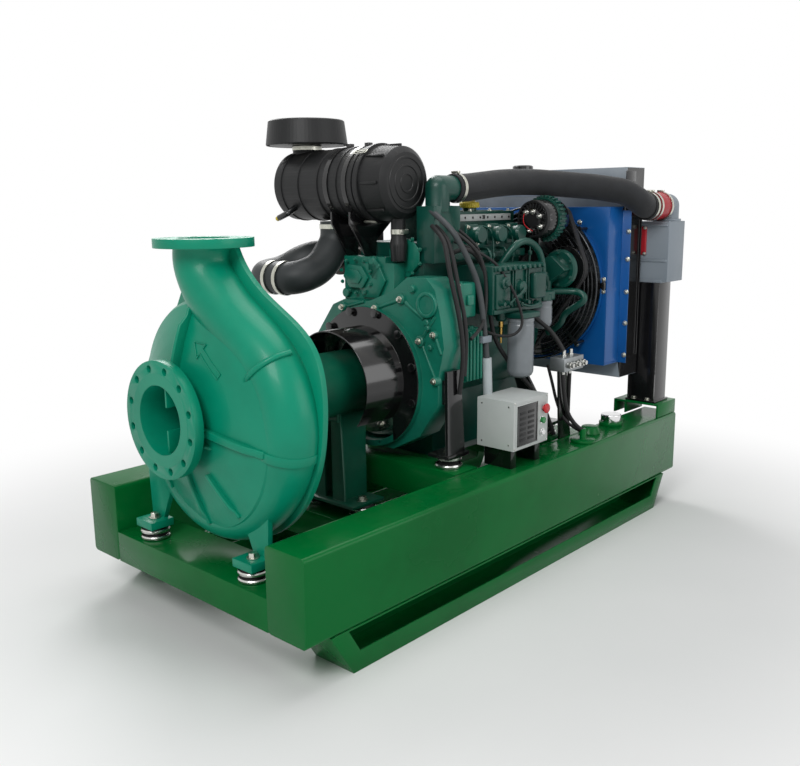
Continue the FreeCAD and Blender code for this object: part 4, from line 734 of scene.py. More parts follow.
class Finishes:
    """Every finish of the set, by a maker's name."""

    SKID = Finish("skid_enamel", srgb(0, 102, 44), srgb(0, 82, 33), 0.26, 0.12, 3.0, 0.6, coat=0.06,
                  shine=0.12, grain=90, grain_depth=0.10, dust=0.02, wear=0.25, wear_colour=srgb(40, 60, 48), slot="skid_green")
    PUMP = Finish("pump_enamel", srgb(0, 134, 104), srgb(0, 112, 86), 0.38, 0.12, 4.0, 0.55,
                  coat=0.08, shine=0.22, grain=420, grain_depth=0.22, dust=0.02, wear=0.15,
                  wear_colour=srgb(60, 120, 100), slot="pump_green")
    BRACKET = Finish("bracket_enamel", srgb(0, 84, 62), srgb(0, 58, 44), 0.42, 0.12, 5.0, 0.6,
                     grain=380, grain_depth=0.22, dust=0.10)
    # The engine's one green paint comes in two tones. This copy is the engine green darkened with painted shade, for
    # the parts that stood in shadow.
    PAINTED_SHADE_GREEN = Finish("green_enamel_painted_shade", srgb(6, 68, 57), srgb(3, 42, 36), 0.36, 0.15, 7.0, 0.6,
                    coat=0.10, grain=350, grain_depth=0.25, dust=0.07, wear=0.12, slot="engine_green")
    # The same engine green lightened with painted light, for the brightly lit gear case and flywheel housing.
    PAINTED_LIGHT_GREEN = Finish("green_enamel_painted_light", srgb(16, 112, 92), srgb(8, 76, 62), 0.36, 0.15, 7.0,
                       0.5, coat=0.12, grain=350, grain_depth=0.22, dust=0.05, wear=0.15, slot="engine_green")
    SHROUD = Finish("shroud_enamel", srgb(14, 84, 150), srgb(8, 60, 118), 0.34, 0.1, 3.0, 0.5,
                    coat=0.2, grain=90, grain_depth=0.08, dust=0.10, slot="blue_paint")
    BLACK = Finish("black_gloss", srgb(14, 14, 15), srgb(24, 24, 25), 0.16, 0.14, 6.0, 0.5, coat=0.5,
                   grain=120, grain_depth=0.05, dust=0.10, wear=0.2, slot="black_paint")
    GUARD = Finish("guard_wire", srgb(52, 54, 56), srgb(38, 40, 42), 0.2, 0.1, 20.0, 0.5, metal=0.7,
                   coat=0.3, slot="black_paint")
    GREY = Finish("radiator_grey", srgb(128, 137, 145), srgb(106, 116, 124), 0.42, 0.12, 5.0, 0.5,
                  grain=150, grain_depth=0.06, dust=0.12, slot="grey_paint")
    BOX = Finish("box_enamel", srgb(186, 190, 188), srgb(166, 172, 170), 0.45, 0.08, 6.0, 0.4,
                 grain=900, grain_depth=0.12, dust=0.08, slot="grey_paint")
    STEEL = Finish("bright_steel", srgb(200, 200, 196), srgb(168, 168, 164), 0.26, 0.12, 20.0, 0.5,
                   metal=1.0, brushed=0.15, slot="zinc_steel")
    ZINC = Finish("zinc_plate", srgb(196, 196, 186), srgb(160, 160, 146), 0.3, 0.15, 40.0, 0.6,
                  metal=1.0, grain=900, grain_depth=0.08, slot="zinc_steel")
    CHROME = Finish("chrome", srgb(225, 225, 225), srgb(200, 200, 200), 0.08, 0.04, 9.0, 0.3,
                    metal=1.0, slot="zinc_steel")
    BRASS = Finish("brass", srgb(196, 160, 88), srgb(160, 124, 66), 0.32, 0.1, 30.0, 0.5, metal=1.0, slot="zinc_steel")
    IRON = Finish("raw_iron", srgb(78, 74, 70), srgb(52, 48, 46), 0.62, 0.15, 16.0, 0.6, metal=0.6,
                  grain=300, grain_depth=0.4)
    ALLOY = Finish("cast_alloy", srgb(150, 154, 156), srgb(122, 126, 128), 0.42, 0.15, 12.0, 0.5,
                   metal=0.85, grain=500, grain_depth=0.2)
    FILTER = Finish("filter_grey", srgb(118, 124, 128), srgb(98, 104, 108), 0.3, 0.1, 8.0, 0.5,
                    coat=0.3, grain=150, grain_depth=0.05, dust=0.08, slot="filter_grey")
    RUBBER = Finish("black_rubber", srgb(15, 15, 16), srgb(24, 24, 25), 0.62, 0.12, 14.0, 0.6,
                    sheen=0.05, grain=700, grain_depth=0.18, dust=0.04, slot="black_rubber")
    CLOTH_HOSE = Finish("wrapped_hose", srgb(22, 24, 27), srgb(15, 16, 18), 0.72, 0.1, 20.0, 0.6,
                        sheen=0.1, grain=1400, grain_depth=0.5, dust=0.04)
    SILICONE = Finish("red_silicone", srgb(168, 28, 38), srgb(136, 20, 30), 0.38, 0.1, 12.0, 0.5,
                      coat=0.1, grain=900, grain_depth=0.2, slot="red_silicone")
    PLASTIC = Finish("moulded_black", srgb(14, 15, 16), srgb(20, 21, 22), 0.46, 0.12, 10.0, 0.5,
                     grain=900, grain_depth=0.2, dust=0.05, slot="black_plastic")
    DUCT = Finish("duct_rubber", srgb(42, 46, 47), srgb(32, 35, 36), 0.5, 0.12, 6.0, 0.5,
                  grain=500, grain_depth=0.15, dust=0.06)
    YELLOW = Finish("yellow_plastic", srgb(206, 186, 60), srgb(176, 156, 46), 0.4, 0.1, 14.0, 0.5,
                    grain=500, grain_depth=0.1, dust=0.1, slot="yellow_plastic")
    RED = Finish("red_plastic", srgb(190, 22, 30), srgb(160, 16, 24), 0.25, 0.06, 12.0, 0.4,
                 coat=0.3, slot="red_plastic")
    GREEN = Finish("green_plastic", srgb(20, 128, 60), srgb(14, 100, 48), 0.25, 0.06, 12.0, 0.4,
                   coat=0.3, slot="green_plastic")
    PAPER = Finish("filter_paper", srgb(214, 204, 170), srgb(190, 178, 142), 0.85, 0.05, 30.0, 0.5,
                   grain=700, grain_depth=0.3)
    SCREEN = Finish("dark_screen", srgb(16, 18, 19), srgb(24, 27, 28), 0.22, 0.06, 8.0, 0.4,
                    coat=0.4, slot="black_plastic")
    SLEEVE = Finish("white_sleeve", srgb(176, 184, 186), srgb(150, 158, 162), 0.5, 0.1, 12.0, 0.5,
                    grain=500, grain_depth=0.12, slot="grey_paint")
    CONDUIT = Finish("grey_conduit", srgb(62, 66, 68), srgb(46, 49, 51), 0.5, 0.1, 10.0, 0.5,
                     grain=500, grain_depth=0.15, slot="black_rubber")
    FINS = Finish("radiator_fins", srgb(120, 126, 130), srgb(88, 94, 98), 0.5, 0.1, 6.0, 0.5,
                  metal=0.7, slot="aluminium")


class Workshop:
    """Holds the frame, the finishes and the body that carries each CAD node."""

    def __init__(self) -> None:
        """Clear the start-up objects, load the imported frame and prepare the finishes."""
        bpy.ops.object.select_all(action="SELECT")
        bpy.ops.object.delete()
        self.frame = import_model()
        self.cad_box = [list(corner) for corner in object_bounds()]
        self.effects = Effects()
        self.made: dict[str, bpy.types.Material] = {}
        self.body_of = {node: body for body, nodes in
                        self.frame["record"]["behaviour"]["bodies"].items() for node in nodes}

    def material(self, finish: Finish) -> bpy.types.Material:
        """The material of a finish, made on first use."""
        if finish.name not in self.made:
            self.made[finish.name] = finish.material(self.effects)
        return self.made[finish.name]

    def dress(self, piece: bpy.types.Object, finish: Finish, body: str = STATIC,
              slot: str = "") -> bpy.types.Object:
        """Give a new piece its material and its body.

        Args:
            piece: the mesh object.
            finish: its surface.
            body: the CAD body that carries it.
            slot: the record's material slot, where it isn't the finish's own; not used.

        Returns:
            The same object.
        """
        self._coat(piece, finish, body)
        slot = slot or finish.slot
        return piece

    def add(self, name: str, pieces: Sequence[bpy.types.Object], finish: Finish,
            body: str = STATIC, slot: str = "") -> bpy.types.Object:
        """Join new pieces under one name and dress the whole."""
        return self.dress(joined(name, pieces), finish, body, slot)

    def _coat(self, piece: bpy.types.Object, finish: Finish, body: str) -> None:
        """Give a piece its material and let it ride on its body."""
        piece.data.materials.clear()
        piece.data.materials.append(self.material(finish))
        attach(piece, body)
        LOG.info("%s rides on %s with %s", piece.name, body, finish.name)

    def refine(self, node: str, finish: Finish, width: float = 1.5, segments: int = 2,
               smooth: float = 35) -> bpy.types.Object:
        """Stand a smoothed copy with broken edges in the place of a CAD node.

        Args:
            node: the CAD node.
            finish: its surface.
            width: width of its broken edges in millimetres.
            segments: facets across an edge.
            smooth: the angle up to which faces are shaded as one.

        Returns:
            The copy.
        """
        take(self.frame["nodes"][node])
        bpy.ops.object.duplicate()
        copy = bpy.context.object
        copy.parent = None
        copy.matrix_world = Matrix.Identity(4)
        del copy["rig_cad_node"]
        copy.name = node + "_dressed"
        bpy.ops.object.mode_set(mode="EDIT")
        bpy.ops.mesh.select_all(action="SELECT")
        bpy.ops.mesh.remove_doubles(threshold=0.00001)
        bpy.ops.mesh.dissolve_limited(angle_limit=math.radians(0.6))
        bpy.ops.object.mode_set(mode="OBJECT")
        broken_edges(copy, width, segments)
        bpy.ops.object.shade_smooth_by_angle(angle=math.radians(smooth))
        self._coat(copy, finish, self.body_of[node])
        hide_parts(node)
        return copy

    def overpaint(self, piece: bpy.types.Object, finish: Finish, low: Point, high: Point) -> None:
        """Give the faces inside a box another finish.

        Args:
            piece: a finished object.
            finish: the other surface.
            low: the box's lowest corner, along the skid, in millimetres.
            high: its highest corner.
        """
        piece.data.materials.append(self.material(finish))
        bottom, top = spot(*low), spot(*high)
        for face in piece.data.polygons:
            if all(a < c < b for a, c, b in zip(bottom, face.center, top)):
                face.material_index = len(piece.data.materials) - 1

    def keep(self, node: str, finish: Finish) -> None:
        """Leave a CAD node as it is and give it a better material."""
        piece = self.frame["nodes"][node]
        piece.data.materials.clear()
        piece.data.materials.append(self.material(finish))
        LOG.info("%s kept with %s", node, finish.name)


@dataclass
class Studio:
    """The floor, the lamps and the camera."""

    eye: Point = (-1357.5, -2103.8, 1254.5)
    yaw: float = 42.40
    pitch: float = 11.49
    roll: float = 0.61
    focal_pixels: float = 875.22
    frame_pixels: float = 800.0
    floor_size: float = 14.0

    def build(self, shop: Workshop) -> None:
        """Lay the floor, light the set and aim the camera."""
        self._floor(shop)
        self._lamps()
        self._world()
        self._camera()
        view = bpy.context.scene.view_settings
        view.view_transform = "Standard"

    def _floor(self, shop: Workshop) -> None:
        """A pale floor with faint mottling that runs on behind the set."""
        bpy.ops.object.select_all(action="DESELECT")
        bpy.ops.mesh.primitive_plane_add(size=self.floor_size)
        floor = bpy.context.object
        floor.name = "studio_floor"
        material = bpy.data.materials.new("pale_floor")
        material.use_nodes = True
        kit = NodeKit(material.node_tree)
        shader = material.node_tree.nodes["Principled BSDF"]
        colour = kit.mix(kit.noise(2.0, Detail=4.0), srgb(226, 227, 226), srgb(234, 234, 233))
        kit.link(colour, shader.inputs["Base Color"])
        shader.inputs["Roughness"].default_value = 0.7
        reach = kit.add("VectorMath", operation="LENGTH")
        kit.link(kit.add("TexCoord").outputs["Object"], reach.inputs[0])
        far = kit.ramp(reach.outputs["Value"], 1.1, 2.5)
        white = kit.add("Emission", Strength=1.0)
        kit.blend(far, shader, white, material.node_tree.nodes["Material Output"])
        floor.data.materials.append(material)
        floor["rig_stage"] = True

    @staticmethod
    def _lamp(name: str, place: Point, target: Point, power: float, size: float) -> None:
        """One soft area lamp that looks at a target.

        Args:
            name: the lamp's name.
            place: where it hangs, in metres.
            target: where it points, in metres.
            power: watts.
            size: side of its square in metres.
        """
        lamp = bpy.data.lights.new(name, "AREA")
        lamp.energy = power
        lamp.size = size
        holder = bpy.data.objects.new(name, lamp)
        bpy.context.scene.collection.objects.link(holder)
        way = Vector(target) - Vector(place)
        holder.matrix_world = Matrix.Translation(place) @ way.to_track_quat("-Z", "Y").to_matrix().to_4x4()

    def _lamps(self) -> None:
        """A key from the pump's end, a fill from the near side and a rim from behind."""
        self._lamp("key_lamp", (-3.6, -1.6, 3.4), (-0.2, 0.0, 0.6), 105.0, 1.8)
        self._lamp("fill_lamp", (0.8, -4.2, 2.0), (0.2, 0.0, 0.6), 40.0, 2.4)
        self._lamp("rim_lamp", (1.5, 3.2, 3.6), (0.0, 0.0, 0.8), 90.0, 2.0)
        self._lamp("top_lamp", (0.2, -0.3, 4.4), (0.0, 0.0, 0.6), 55.0, 2.4)

    @staticmethod
    def _world() -> None:
        """Soft grey light all round, white where the camera or a reflection sees it."""
        world = bpy.data.worlds.new("studio_air")
        bpy.context.scene.world = world
        world.use_nodes = True
        kit = NodeKit(world.node_tree)
        surface = world.node_tree.nodes["Background"]
        surface.inputs["Color"].default_value = (0.86, 0.88, 0.90, 1)
        surface.inputs["Strength"].default_value = 0.22
        white = kit.add("Background", Color=(1, 1, 1, 1), Strength=1.0)
        path = kit.add("LightPath")
        seen = kit.math("MAXIMUM", path.outputs["Is Camera Ray"],
                        path.outputs["Is Transmission Ray"])
        seen = kit.math("MAXIMUM", seen, path.outputs["Is Glossy Ray"])
        kit.blend(seen, surface, white, world.node_tree.nodes["World Output"])

    def _camera(self) -> None:
        """Aim the camera from the fitted place and angles."""
        yaw, pitch, roll = (math.radians(value) for value in (self.yaw, self.pitch, self.roll))
        ahead = Vector((math.cos(pitch) * math.cos(yaw), math.cos(pitch) * math.sin(yaw),
                        -math.sin(pitch)))
        right = ahead.cross(Vector((0, 0, 1))).normalized()
        down = ahead.cross(right).normalized()
        across = math.cos(roll) * right + math.sin(roll) * down
        below = -math.sin(roll) * right + math.cos(roll) * down
        rows = zip(across, -below, -ahead, spot(*self.eye))
        camera = bpy.data.cameras.new("photo_camera")
        camera.sensor_width = 36.0
        camera.sensor_fit = "HORIZONTAL"
        camera.lens = self.focal_pixels * camera.sensor_width / self.frame_pixels
        holder = bpy.data.objects.new("photo_camera", camera)
        bpy.context.scene.collection.objects.link(holder)
        holder.matrix_world = Matrix([*rows, (0, 0, 0, 1)])
        bpy.context.scene.camera = holder


@dataclass
class Skid:
    """The two box beams, their runners and what stands on them."""

    beam_inner: float = 375.0
    half_width: float = 530.0

    def build(self, shop: Workshop) -> None:
        """Dress the frame and add its welds, post gussets, seat webs and foot bolts."""
        for node in ("left_side_beam", "right_side_beam"):
            shop.refine(node, Finishes.SKID, width=1.0)
        for node in ("skid_runners", "cross_members"):
            shop.refine(node, Finishes.SKID, width=1.2)
        shop.refine("radiator_posts", Finishes.BLACK, width=2.0)
        self._welds(shop)
        self._post_fittings(shop)

    def _welds(self, shop: Workshop) -> None:
        """Weld beads along the runners and where the cross members meet the beams."""
        beads = []
        for side in (-1, 1):
            for y in (side * (self.half_width - 3), side * (self.beam_inner + 3)):
                run = [spot(x, y, 131) for x in range(100, 2001, 190)]
                beads.append(curve_line("bead", run, 3.0, 2))
            for x, top in ((4, 230), (186, 230), (538, 230), (726, 230), (800, 384), (917, 384),
                           (1381, 384), (1499, 384)):
                low = 135 if top < 300 else 278
                run = [spot(x, side * (self.beam_inner - 1.5), low), spot(x, side * 373.5, top - 4)]
                beads.append(curve_line("bead", run, 3.2, 2))
        shop.add("skid_welds", beads, Finishes.SKID)

    def _post_fittings(self, shop: Workshop) -> None:
        """Gussets and foot bolts of the radiator posts."""
        plates, feet = [], []
        for side in (-1, 1):
            inner, outer = side * 380.0, side * 498.0
            for y in (inner, outer):
                start = min(y, y + side * -6) if y == outer else min(y, y + side * 6)
                corners = [(1958, 449.5), (1958, 560), (1949, 560), (1949, 449.5)]
                plates.append(plate("gusset", corners, start, 6, Axis.Y, 0.8))
            for x, y in ((1953, 408), (1953, 470), (2063, 408), (2063, 470)):
                feet.append(spot(x, side * y, 450))
        shop.add("post_gussets", plates, Finishes.BLACK)
        webs = [block("web", (1946, min(side * 371, side * 377), 385),
                      (2096, max(side * 371, side * 377), 434), 1.0) for side in (-1, 1)]
        shop.add("seat_webs", webs, Finishes.SKID)
        shop.dress(bolts("post_foot_bolts", feet, 15, 8, Vector((0, 0, 1))), Finishes.ZINC)


@dataclass
class Pump:
    """The volute pump with its bracket, leg and rotor."""

    axis_z: float = 670.0
    centre_x: float = 127.0
    suction_x: float = -53.0
    skin_start: tuple[float, float] = (6.0, 112.0)
    skin_end: tuple[float, float] = (69.5, 326.0)
    skin_shift: tuple[float, float] = (-26.0, -8.0)
    skin_lean: float = 25.5
    skin_swell: float = 5.0
    skin_thickness: float = 10.0

    def build(self, shop: Workshop) -> None:
        """Dress the castings and add the front skin, ribs, gussets, flange face, flow plates, the arrow and the drain
        plug.
        """
        shop.refine("pump_casing", Finishes.PUMP, width=2.2, segments=2, smooth=40)
        shop.refine("casing_cover", Finishes.BRACKET, width=1.5)
        shop.refine("bearing_bracket", Finishes.BRACKET, width=2.0)
        shop.refine("pump_support_leg", Finishes.BRACKET, width=2.0)
        shop.refine("mechanical_seal", Finishes.STEEL, width=0.8)
        shop.refine("impeller", Finishes.IRON, width=0.8, segments=1)
        shop.refine("pump_shaft", Finishes.STEEL, width=1.2)
        shop.refine("shaft_bearings", Finishes.STEEL, width=0.8)
        self._front(shop)
        self._ribs(shop)
        self._neck_gussets(shop)
        self._raised_faces(shop)
        self._arrow(shop)
        self._drain_plug(shop)

    def _front(self, shop: Workshop) -> None:
        """The smooth conical skin that runs from the suction neck out to the shoulder."""
        shares = [0.0, 0.25, 0.5, 0.75, 1.0]
        rings = [(share, 0.0) for share in shares] + [(1.05, 9.0)]
        rings += [(share, self.skin_thickness) for share in reversed(shares)]
        bands = [self._band(near, far) for near, far in zip(rings, [*rings[1:], rings[0]])]
        skin = joined("casing_front", bands)
        bpy.ops.object.mode_set(mode="EDIT")
        close_up(skin, Matrix.Identity(4))
        shop.dress(skin, Finishes.PUMP)

    def _band(self, *rings: tuple[float, float]) -> bpy.types.Object:
        """The faces between two rings of the front skin.

        Args:
            rings: for each ring, its share of the way out and how deep it lies.

        Returns:
            The band as an object.
        """
        for number, (share, depth) in enumerate(rings):
            middle = self._skin_middle(share) + depth
            shift_y, shift_z = (share * shift for shift in self.skin_shift)
            radius = self.skin_start[1] + share * (self.skin_end[1] - self.skin_start[1])
            lean = math.asin(share * self.skin_lean / radius)
            if number:
                bpy.ops.object.mode_set(mode="EDIT")
            else:
                bpy.ops.object.select_all(action="DESELECT")
            bpy.ops.mesh.primitive_circle_add(
                vertices=96, radius=radius * MM, rotation=(0, math.pi / 2, -lean),
                location=spot(middle, shift_y, self.axis_z + shift_z))
            if not number:
                bpy.ops.object.transform_apply(location=True, rotation=True, scale=True)
        bpy.ops.mesh.select_all(action="SELECT")
        bpy.ops.mesh.bridge_edge_loops()
        bpy.ops.object.mode_set(mode="OBJECT")
        return bpy.context.object

    def _skin_middle(self, share: float) -> float:
        """Where the middle of one of the skin's rings lies along the skid."""
        start, end = self.skin_start[0], self.skin_end[0]
        return start + share * (end - start) - self.skin_swell * math.sin(math.pi * share)

    def _skin_x(self, radius: float, angle: float) -> float:
        """How far along the skid the front skin lies.

        Args:
            radius: the distance from the shaft.
            angle: the direction from the shaft in degrees, from the far side over the top.

        Returns:
            The station in millimetres.
        """
        across, up = math.cos(math.radians(angle)), math.sin(math.radians(angle))
        reach = (self.skin_end[1] - self.skin_start[1] + self.skin_shift[0] * across
                 + self.skin_shift[1] * up)
        share = min(max((radius - self.skin_start[1]) / reach, 0.0), 1.0)
        return self._skin_middle(share) + share * self.skin_lean * across

    def _ribs(self, shop: Workshop) -> None:
        """Straight cast ribs that run out over the front skin from the suction neck."""
        ribs = []
        for angle, inner, outer, height, thickness in (
                (190, 118, 345, 15, 22), (93, 118, 312, 30, 13), (232, 190, 338, 13, 12),
                (205, 118, 165, 16, 9), (262, 122, 330, 13, 13), (302, 122, 312, 12, 12),
                (0, 118, 298, 13, 18)):
            top, bottom = [], []
            for step in range(9):
                radius = inner + (outer - inner) * step / 8
                skin = self._skin_x(radius, angle)
                lift = height * (1.0 if step < 7 else 0.5)
                top.append((radius, skin - lift))
                bottom.append((radius, skin + 14))
            corners = [(x, r) for r, x in top] + [(x, r) for r, x in reversed(bottom)]
            rib = draw_face("rib", corners, thickness)
            lay = Matrix.Rotation(math.radians(angle), 4, "X")
            shift = Matrix.Translation((0, 0, -thickness * MM / 2))
            home = Matrix.Translation(spot(0, 0, self.axis_z))
            close_up(rib, home @ lay @ shift)
            ribs.append(broken_edges(rib, 4.0, 3))
        ribs.append(self._neck_band())
        shop.add("casing_ribs", ribs, Finishes.PUMP)

    def _neck_band(self) -> bpy.types.Object:
        """The raised band that curls round the swan neck above the throat."""
        middle, outwards, radius = (127, -292, 821), (-0.758, 0.652), 88
        arc = []
        for turn in range(-50, 110, 20):
            forward, side = (part(math.radians(turn)) for part in (math.cos, math.sin))
            arc.append(spot(middle[0] - radius * forward,
                            middle[1] + radius * side * outwards[0],
                            middle[2] + radius * side * outwards[1]))
        return curve_line("neck_band", arc, 8, 4)

    def _neck_gussets(self, shop: Workshop) -> None:
        """Short gussets between the suction flange and the casing's front."""
        wedge = [(-28, 116), (-28, 140), (-6, 128), (22, 124), (30, 118)]
        template = plate("gusset", [(y, x) for x, y in wedge], 0, 8, Axis.Z, 1.5)
        template.data.transform(Matrix.Translation((-FRONT * MM, 0, -0.004)))
        lay = Matrix(((0, 1, 0, 0), (1, 0, 0, 0), (0, 0, -1, 0), (0, 0, 0, 1)))
        template.data.transform(lay)
        turns = [Matrix.Translation(spot(0, 0, self.axis_z)) @ Matrix.Rotation(math.radians(a), 4, "X")
                 for a in (15, 45, 75, 105, 135, 165, 195, 215, 245, 285, 315, 345)]
        shop.add("suction_gussets", copied(template, turns), Finishes.PUMP)

    def _raised_faces(self, shop: Workshop) -> None:
        """The machined face of the suction flange and the flow plates in the suction bore."""
        place = spot(self.suction_x, 0, self.axis_z)
        rings = [turned("face", [(0, 101), (0, 134), (1.2, 135), (1.2, 101)], place, steps=64)]
        rings[0].data.transform(Matrix.Translation((-0.0004, 0, 0)))
        for low, high in ((32, 99), (-99, -34)):
            rings.append(block("plate", (-30, -4, self.axis_z + low), (30, 4, self.axis_z + high), 1.2))
        shop.add("suction_face_and_plates", rings, Finishes.PUMP)

    def _arrow(self, shop: Workshop) -> None:
        """The outline of a rotation arrow cast on the front skin."""
        points = [(-176, 128), (-98, 190), (-88, 176), (-66, 220), (-118, 216), (-108, 204),
                  (-188, 142), (-176, 128)]
        strokes = []
        for (y0, z0), (y1, z1) in zip(points, points[1:]):
            run = []
            for share in (0.0, 0.5, 1.0):
                y, z = y0 + (y1 - y0) * share, z0 + (z1 - z0) * share
                skin = self._skin_x(math.hypot(y, z), math.degrees(math.atan2(z, y)))
                run.append(spot(skin - 1.0, y, self.axis_z + z))
            strokes.append(curve_line("stroke", run, 1.8, 2))
        shop.add("rotation_arrow", strokes, Finishes.PUMP)

    def _drain_plug(self, shop: Workshop) -> None:
        """The square-headed plug at the foot of the casing."""
        place = spot(self.centre_x - 40, -40, self.axis_z - 336)
        boss = turned("boss", [(-14, 0), (-14, 8), (-12, 10), (-2, 10), (-2, 15), (6, 16), (6, 0)],
                      place, Axis.Z, 24)
        shop.dress(boss, Finishes.ZINC).name = "drain_plug"


@dataclass
class Coupling:
    """The guard bell, the coupling inside it and the flywheel."""

    axis_z: float = 670.0

    def build(self, shop: Workshop) -> None:
        """Dress the turning parts and add the guard's rolled lip and the drive ring bolts."""
        shop.refine("coupling_guard", Finishes.BLACK, width=0.8)
        shop.refine("coupling_hub", Finishes.STEEL, width=2.0)
        shop.refine("coupling_element", Finishes.RUBBER, width=2.0)
        shop.refine("flywheel", Finishes.STEEL, width=1.5)
        self._lip(shop)
        self._drive_bolts(shop)

    def _lip(self, shop: Workshop) -> None:
        """The rolled wire edge at the front of the guard."""
        points = []
        for step in range(25):
            angle = math.radians(-36 + 252 * step / 24)
            points.append(spot(596, 178 * math.cos(angle), self.axis_z + 178 * math.sin(angle)))
        shop.dress(curve_line("guard_lip", points, 2.6, 3), Finishes.BLACK)

    def _drive_bolts(self, shop: Workshop) -> None:
        """Bolts that hold the drive ring to the flywheel."""
        places = [spot(774, y, self.axis_z + z) for y, z in ring_of(8, 172, 22.5)]
        shop.dress(bolts("drive_ring_bolts", places, 15, 8), Finishes.ZINC,
                   shop.body_of["flywheel"])


@dataclass
class Engine:
    """The engine's castings, covers, pipes and cables."""

    rear_x: float = 790.0

    def build(self, shop: Workshop) -> None:
        """Dress the castings and add what is bolted, clipped and plugged onto them."""
        # The flywheel housing and the covers take the lit copy of the engine green (painted light). The block, sump,
        # head, rocker cover and coolant pump take the shaded copy (painted shade).
        shop.refine("flywheel_housing", Finishes.PAINTED_LIGHT_GREEN, width=3.0, segments=3)
        covers = shop.refine("engine_covers", Finishes.PAINTED_LIGHT_GREEN, width=2.0)
        # Painted shade: the covers' faces along the block's near side get the darker, shaded copy of the engine green.
        shop.overpaint(covers, Finishes.PAINTED_SHADE_GREEN, (1040, -345, 875), (1350, -140, 1055))
        for node in ("engine_block", "oil_sump", "cylinder_head", "rocker_cover", "coolant_pump"):
            shop.refine(node, Finishes.PAINTED_SHADE_GREEN, width=3.0, segments=3)
        shop.refine("engine_brackets", Finishes.BLACK, width=1.5)
        for node in ("exhaust_manifold", "turbocharger"):
            shop.refine(node, Finishes.IRON, width=2.0)
        shop.refine("starter_motor", Finishes.BLACK, width=1.5)
        shop.refine("crankshaft", Finishes.IRON, width=1.0, segments=1)
        self._gear_case_covers(shop)
        self._ring_cover(shop)
        self._lugs(shop)
        self._side_covers(shop)
        self._rocker_strip(shop)
        self._filler_cap(shop)
        self._head_details(shop)
        self._filters(shop)
        self._sensor(shop)
        self._fuel_rail(shop)
        self._cables(shop)
        self._hoses(shop)

    def _gear_case_covers(self, shop: Workshop) -> None:
        """Raised pads, rims and bolts on the octagonal and diamond covers."""
        octagon = [(-88 + y, 1083 + z) for y, z in ring_of(8, 58, 22.5)]
        diamond = [(30, 1008), (62, 1048), (128, 1052), (152, 1010), (120, 972), (58, 970)]
        tall = [(-8, 1000), (-20, 1046), (10, 1084), (40, 1074), (36, 1030), (18, 1004)]
        pads = [plate("pad", octagon, 894, 5, bevel=2.0), plate("pad", diamond, 818, 9, bevel=2.5),
                plate("pad", [(y * 0.62 + 93 * 0.38, z * 0.62 + 1012 * 0.38) for y, z in diamond],
                      812, 7, bevel=2.5),
                plate("pad", tall, 828, 12, bevel=3.0)]
        for y, z, radius in ((20, 1066, 13), (-10, 1050, 9), (150, 950, 16)):
            pads.append(turned("boss", [(-16, 0), (-16, radius - 2), (-14, radius), (0, radius + 2),
                                        (0, 0)], spot(842, y, z), steps=24))
        # Painted light: the pads, bosses and bolts take the lighter, lit copy of the engine green.
        shop.add("gear_case_pads", pads, Finishes.PAINTED_LIGHT_GREEN)
        heads = [spot(895, -88 + y, 1083 + z) for y, z in ring_of(8, 62, 22.5)]
        heads += [spot(825, y, z) for y, z in ((24, 1030), (54, 1066), (96, 1070), (140, 1064),
                                               (164, 1030), (160, 990), (128, 958), (92, 954),
                                               (50, 956), (24, 984))]
        shop.dress(bolts("gear_case_bolts", heads, 9, 5), Finishes.PAINTED_LIGHT_GREEN)

    def _ring_cover(self, shop: Workshop) -> None:
        """The round access cover with its raised rim on the near side of the housing."""
        place = spot(self.rear_x, -266, 938)
        cover = turned("access_cover", [(0, 0), (-7, 0), (-8, 26), (-8, 31), (-11, 33), (-11, 39),
                                        (-8, 42), (0, 43)], place, steps=40)
        # Painted light: the access cover takes the lit copy of the engine green.
        shop.dress(cover, Finishes.PAINTED_LIGHT_GREEN)

    def _lugs(self, shop: Workshop) -> None:
        """Bolt lugs and stiffening ribs round the rear face of the housing."""
        pieces, heads = [], []
        for y, z, radius in ((-156, 949, 17), (-238, 816, 18), (-302, 690, 15), (-300, 842, 13),
                             (-268, 880, 11), (120, 905, 15), (-40, 912, 13), (-206, 986, 12),
                             (-272, 862, 9), (-282, 800, 9)):
            lug = turned("lug", [(6, 0), (6, radius + 3), (-10, radius), (-13, radius - 3), (-13, 0)],
                         spot(self.rear_x, y, z), steps=24)
            pieces.append(lug)
            if radius > 12:
                heads.append(spot(self.rear_x - 13, y, z))
        for (y0, z0), (y1, z1) in (((-156, 949), (-250, 890)), ((-238, 816), (-300, 900)),
                                   ((-40, 912), (-156, 949)), ((-302, 690), (-238, 816)),
                                   ((-300, 842), (-324, 780)), ((120, 905), (20, 930))):
            run = [spot(self.rear_x + 1, y0, z0), spot(self.rear_x - 3, (y0 + y1) / 2, (z0 + z1) / 2),
                   spot(self.rear_x + 1, y1, z1)]
            pieces.append(curve_line("rib", run, 6.5, 3))
        # Painted light: the lugs and ribs take the lit copy of the engine green.
        shop.add("housing_lugs_and_ribs", pieces, Finishes.PAINTED_LIGHT_GREEN)
        shop.dress(bolts("housing_bolts", heads, 14, 8), Finishes.ZINC)

    def _side_covers(self, shop: Workshop) -> None:
        """The ribbed cover and the square cover on the near side."""
        ribs = [block("rib", (909 + 19 * i, -338, 672), (919 + 19 * i, -310, 838), 4.0, 3)
                for i in range(5)]
        ribs.append(block("back", (900, -314, 664), (1004, -186, 846), 5.0, 3))
        ribs.append(turned("top_boss", [(-30, 0), (-30, 12), (-28, 14), (0, 14), (0, 0)],
                           spot(972, -300, 852), Axis.Z, 20))
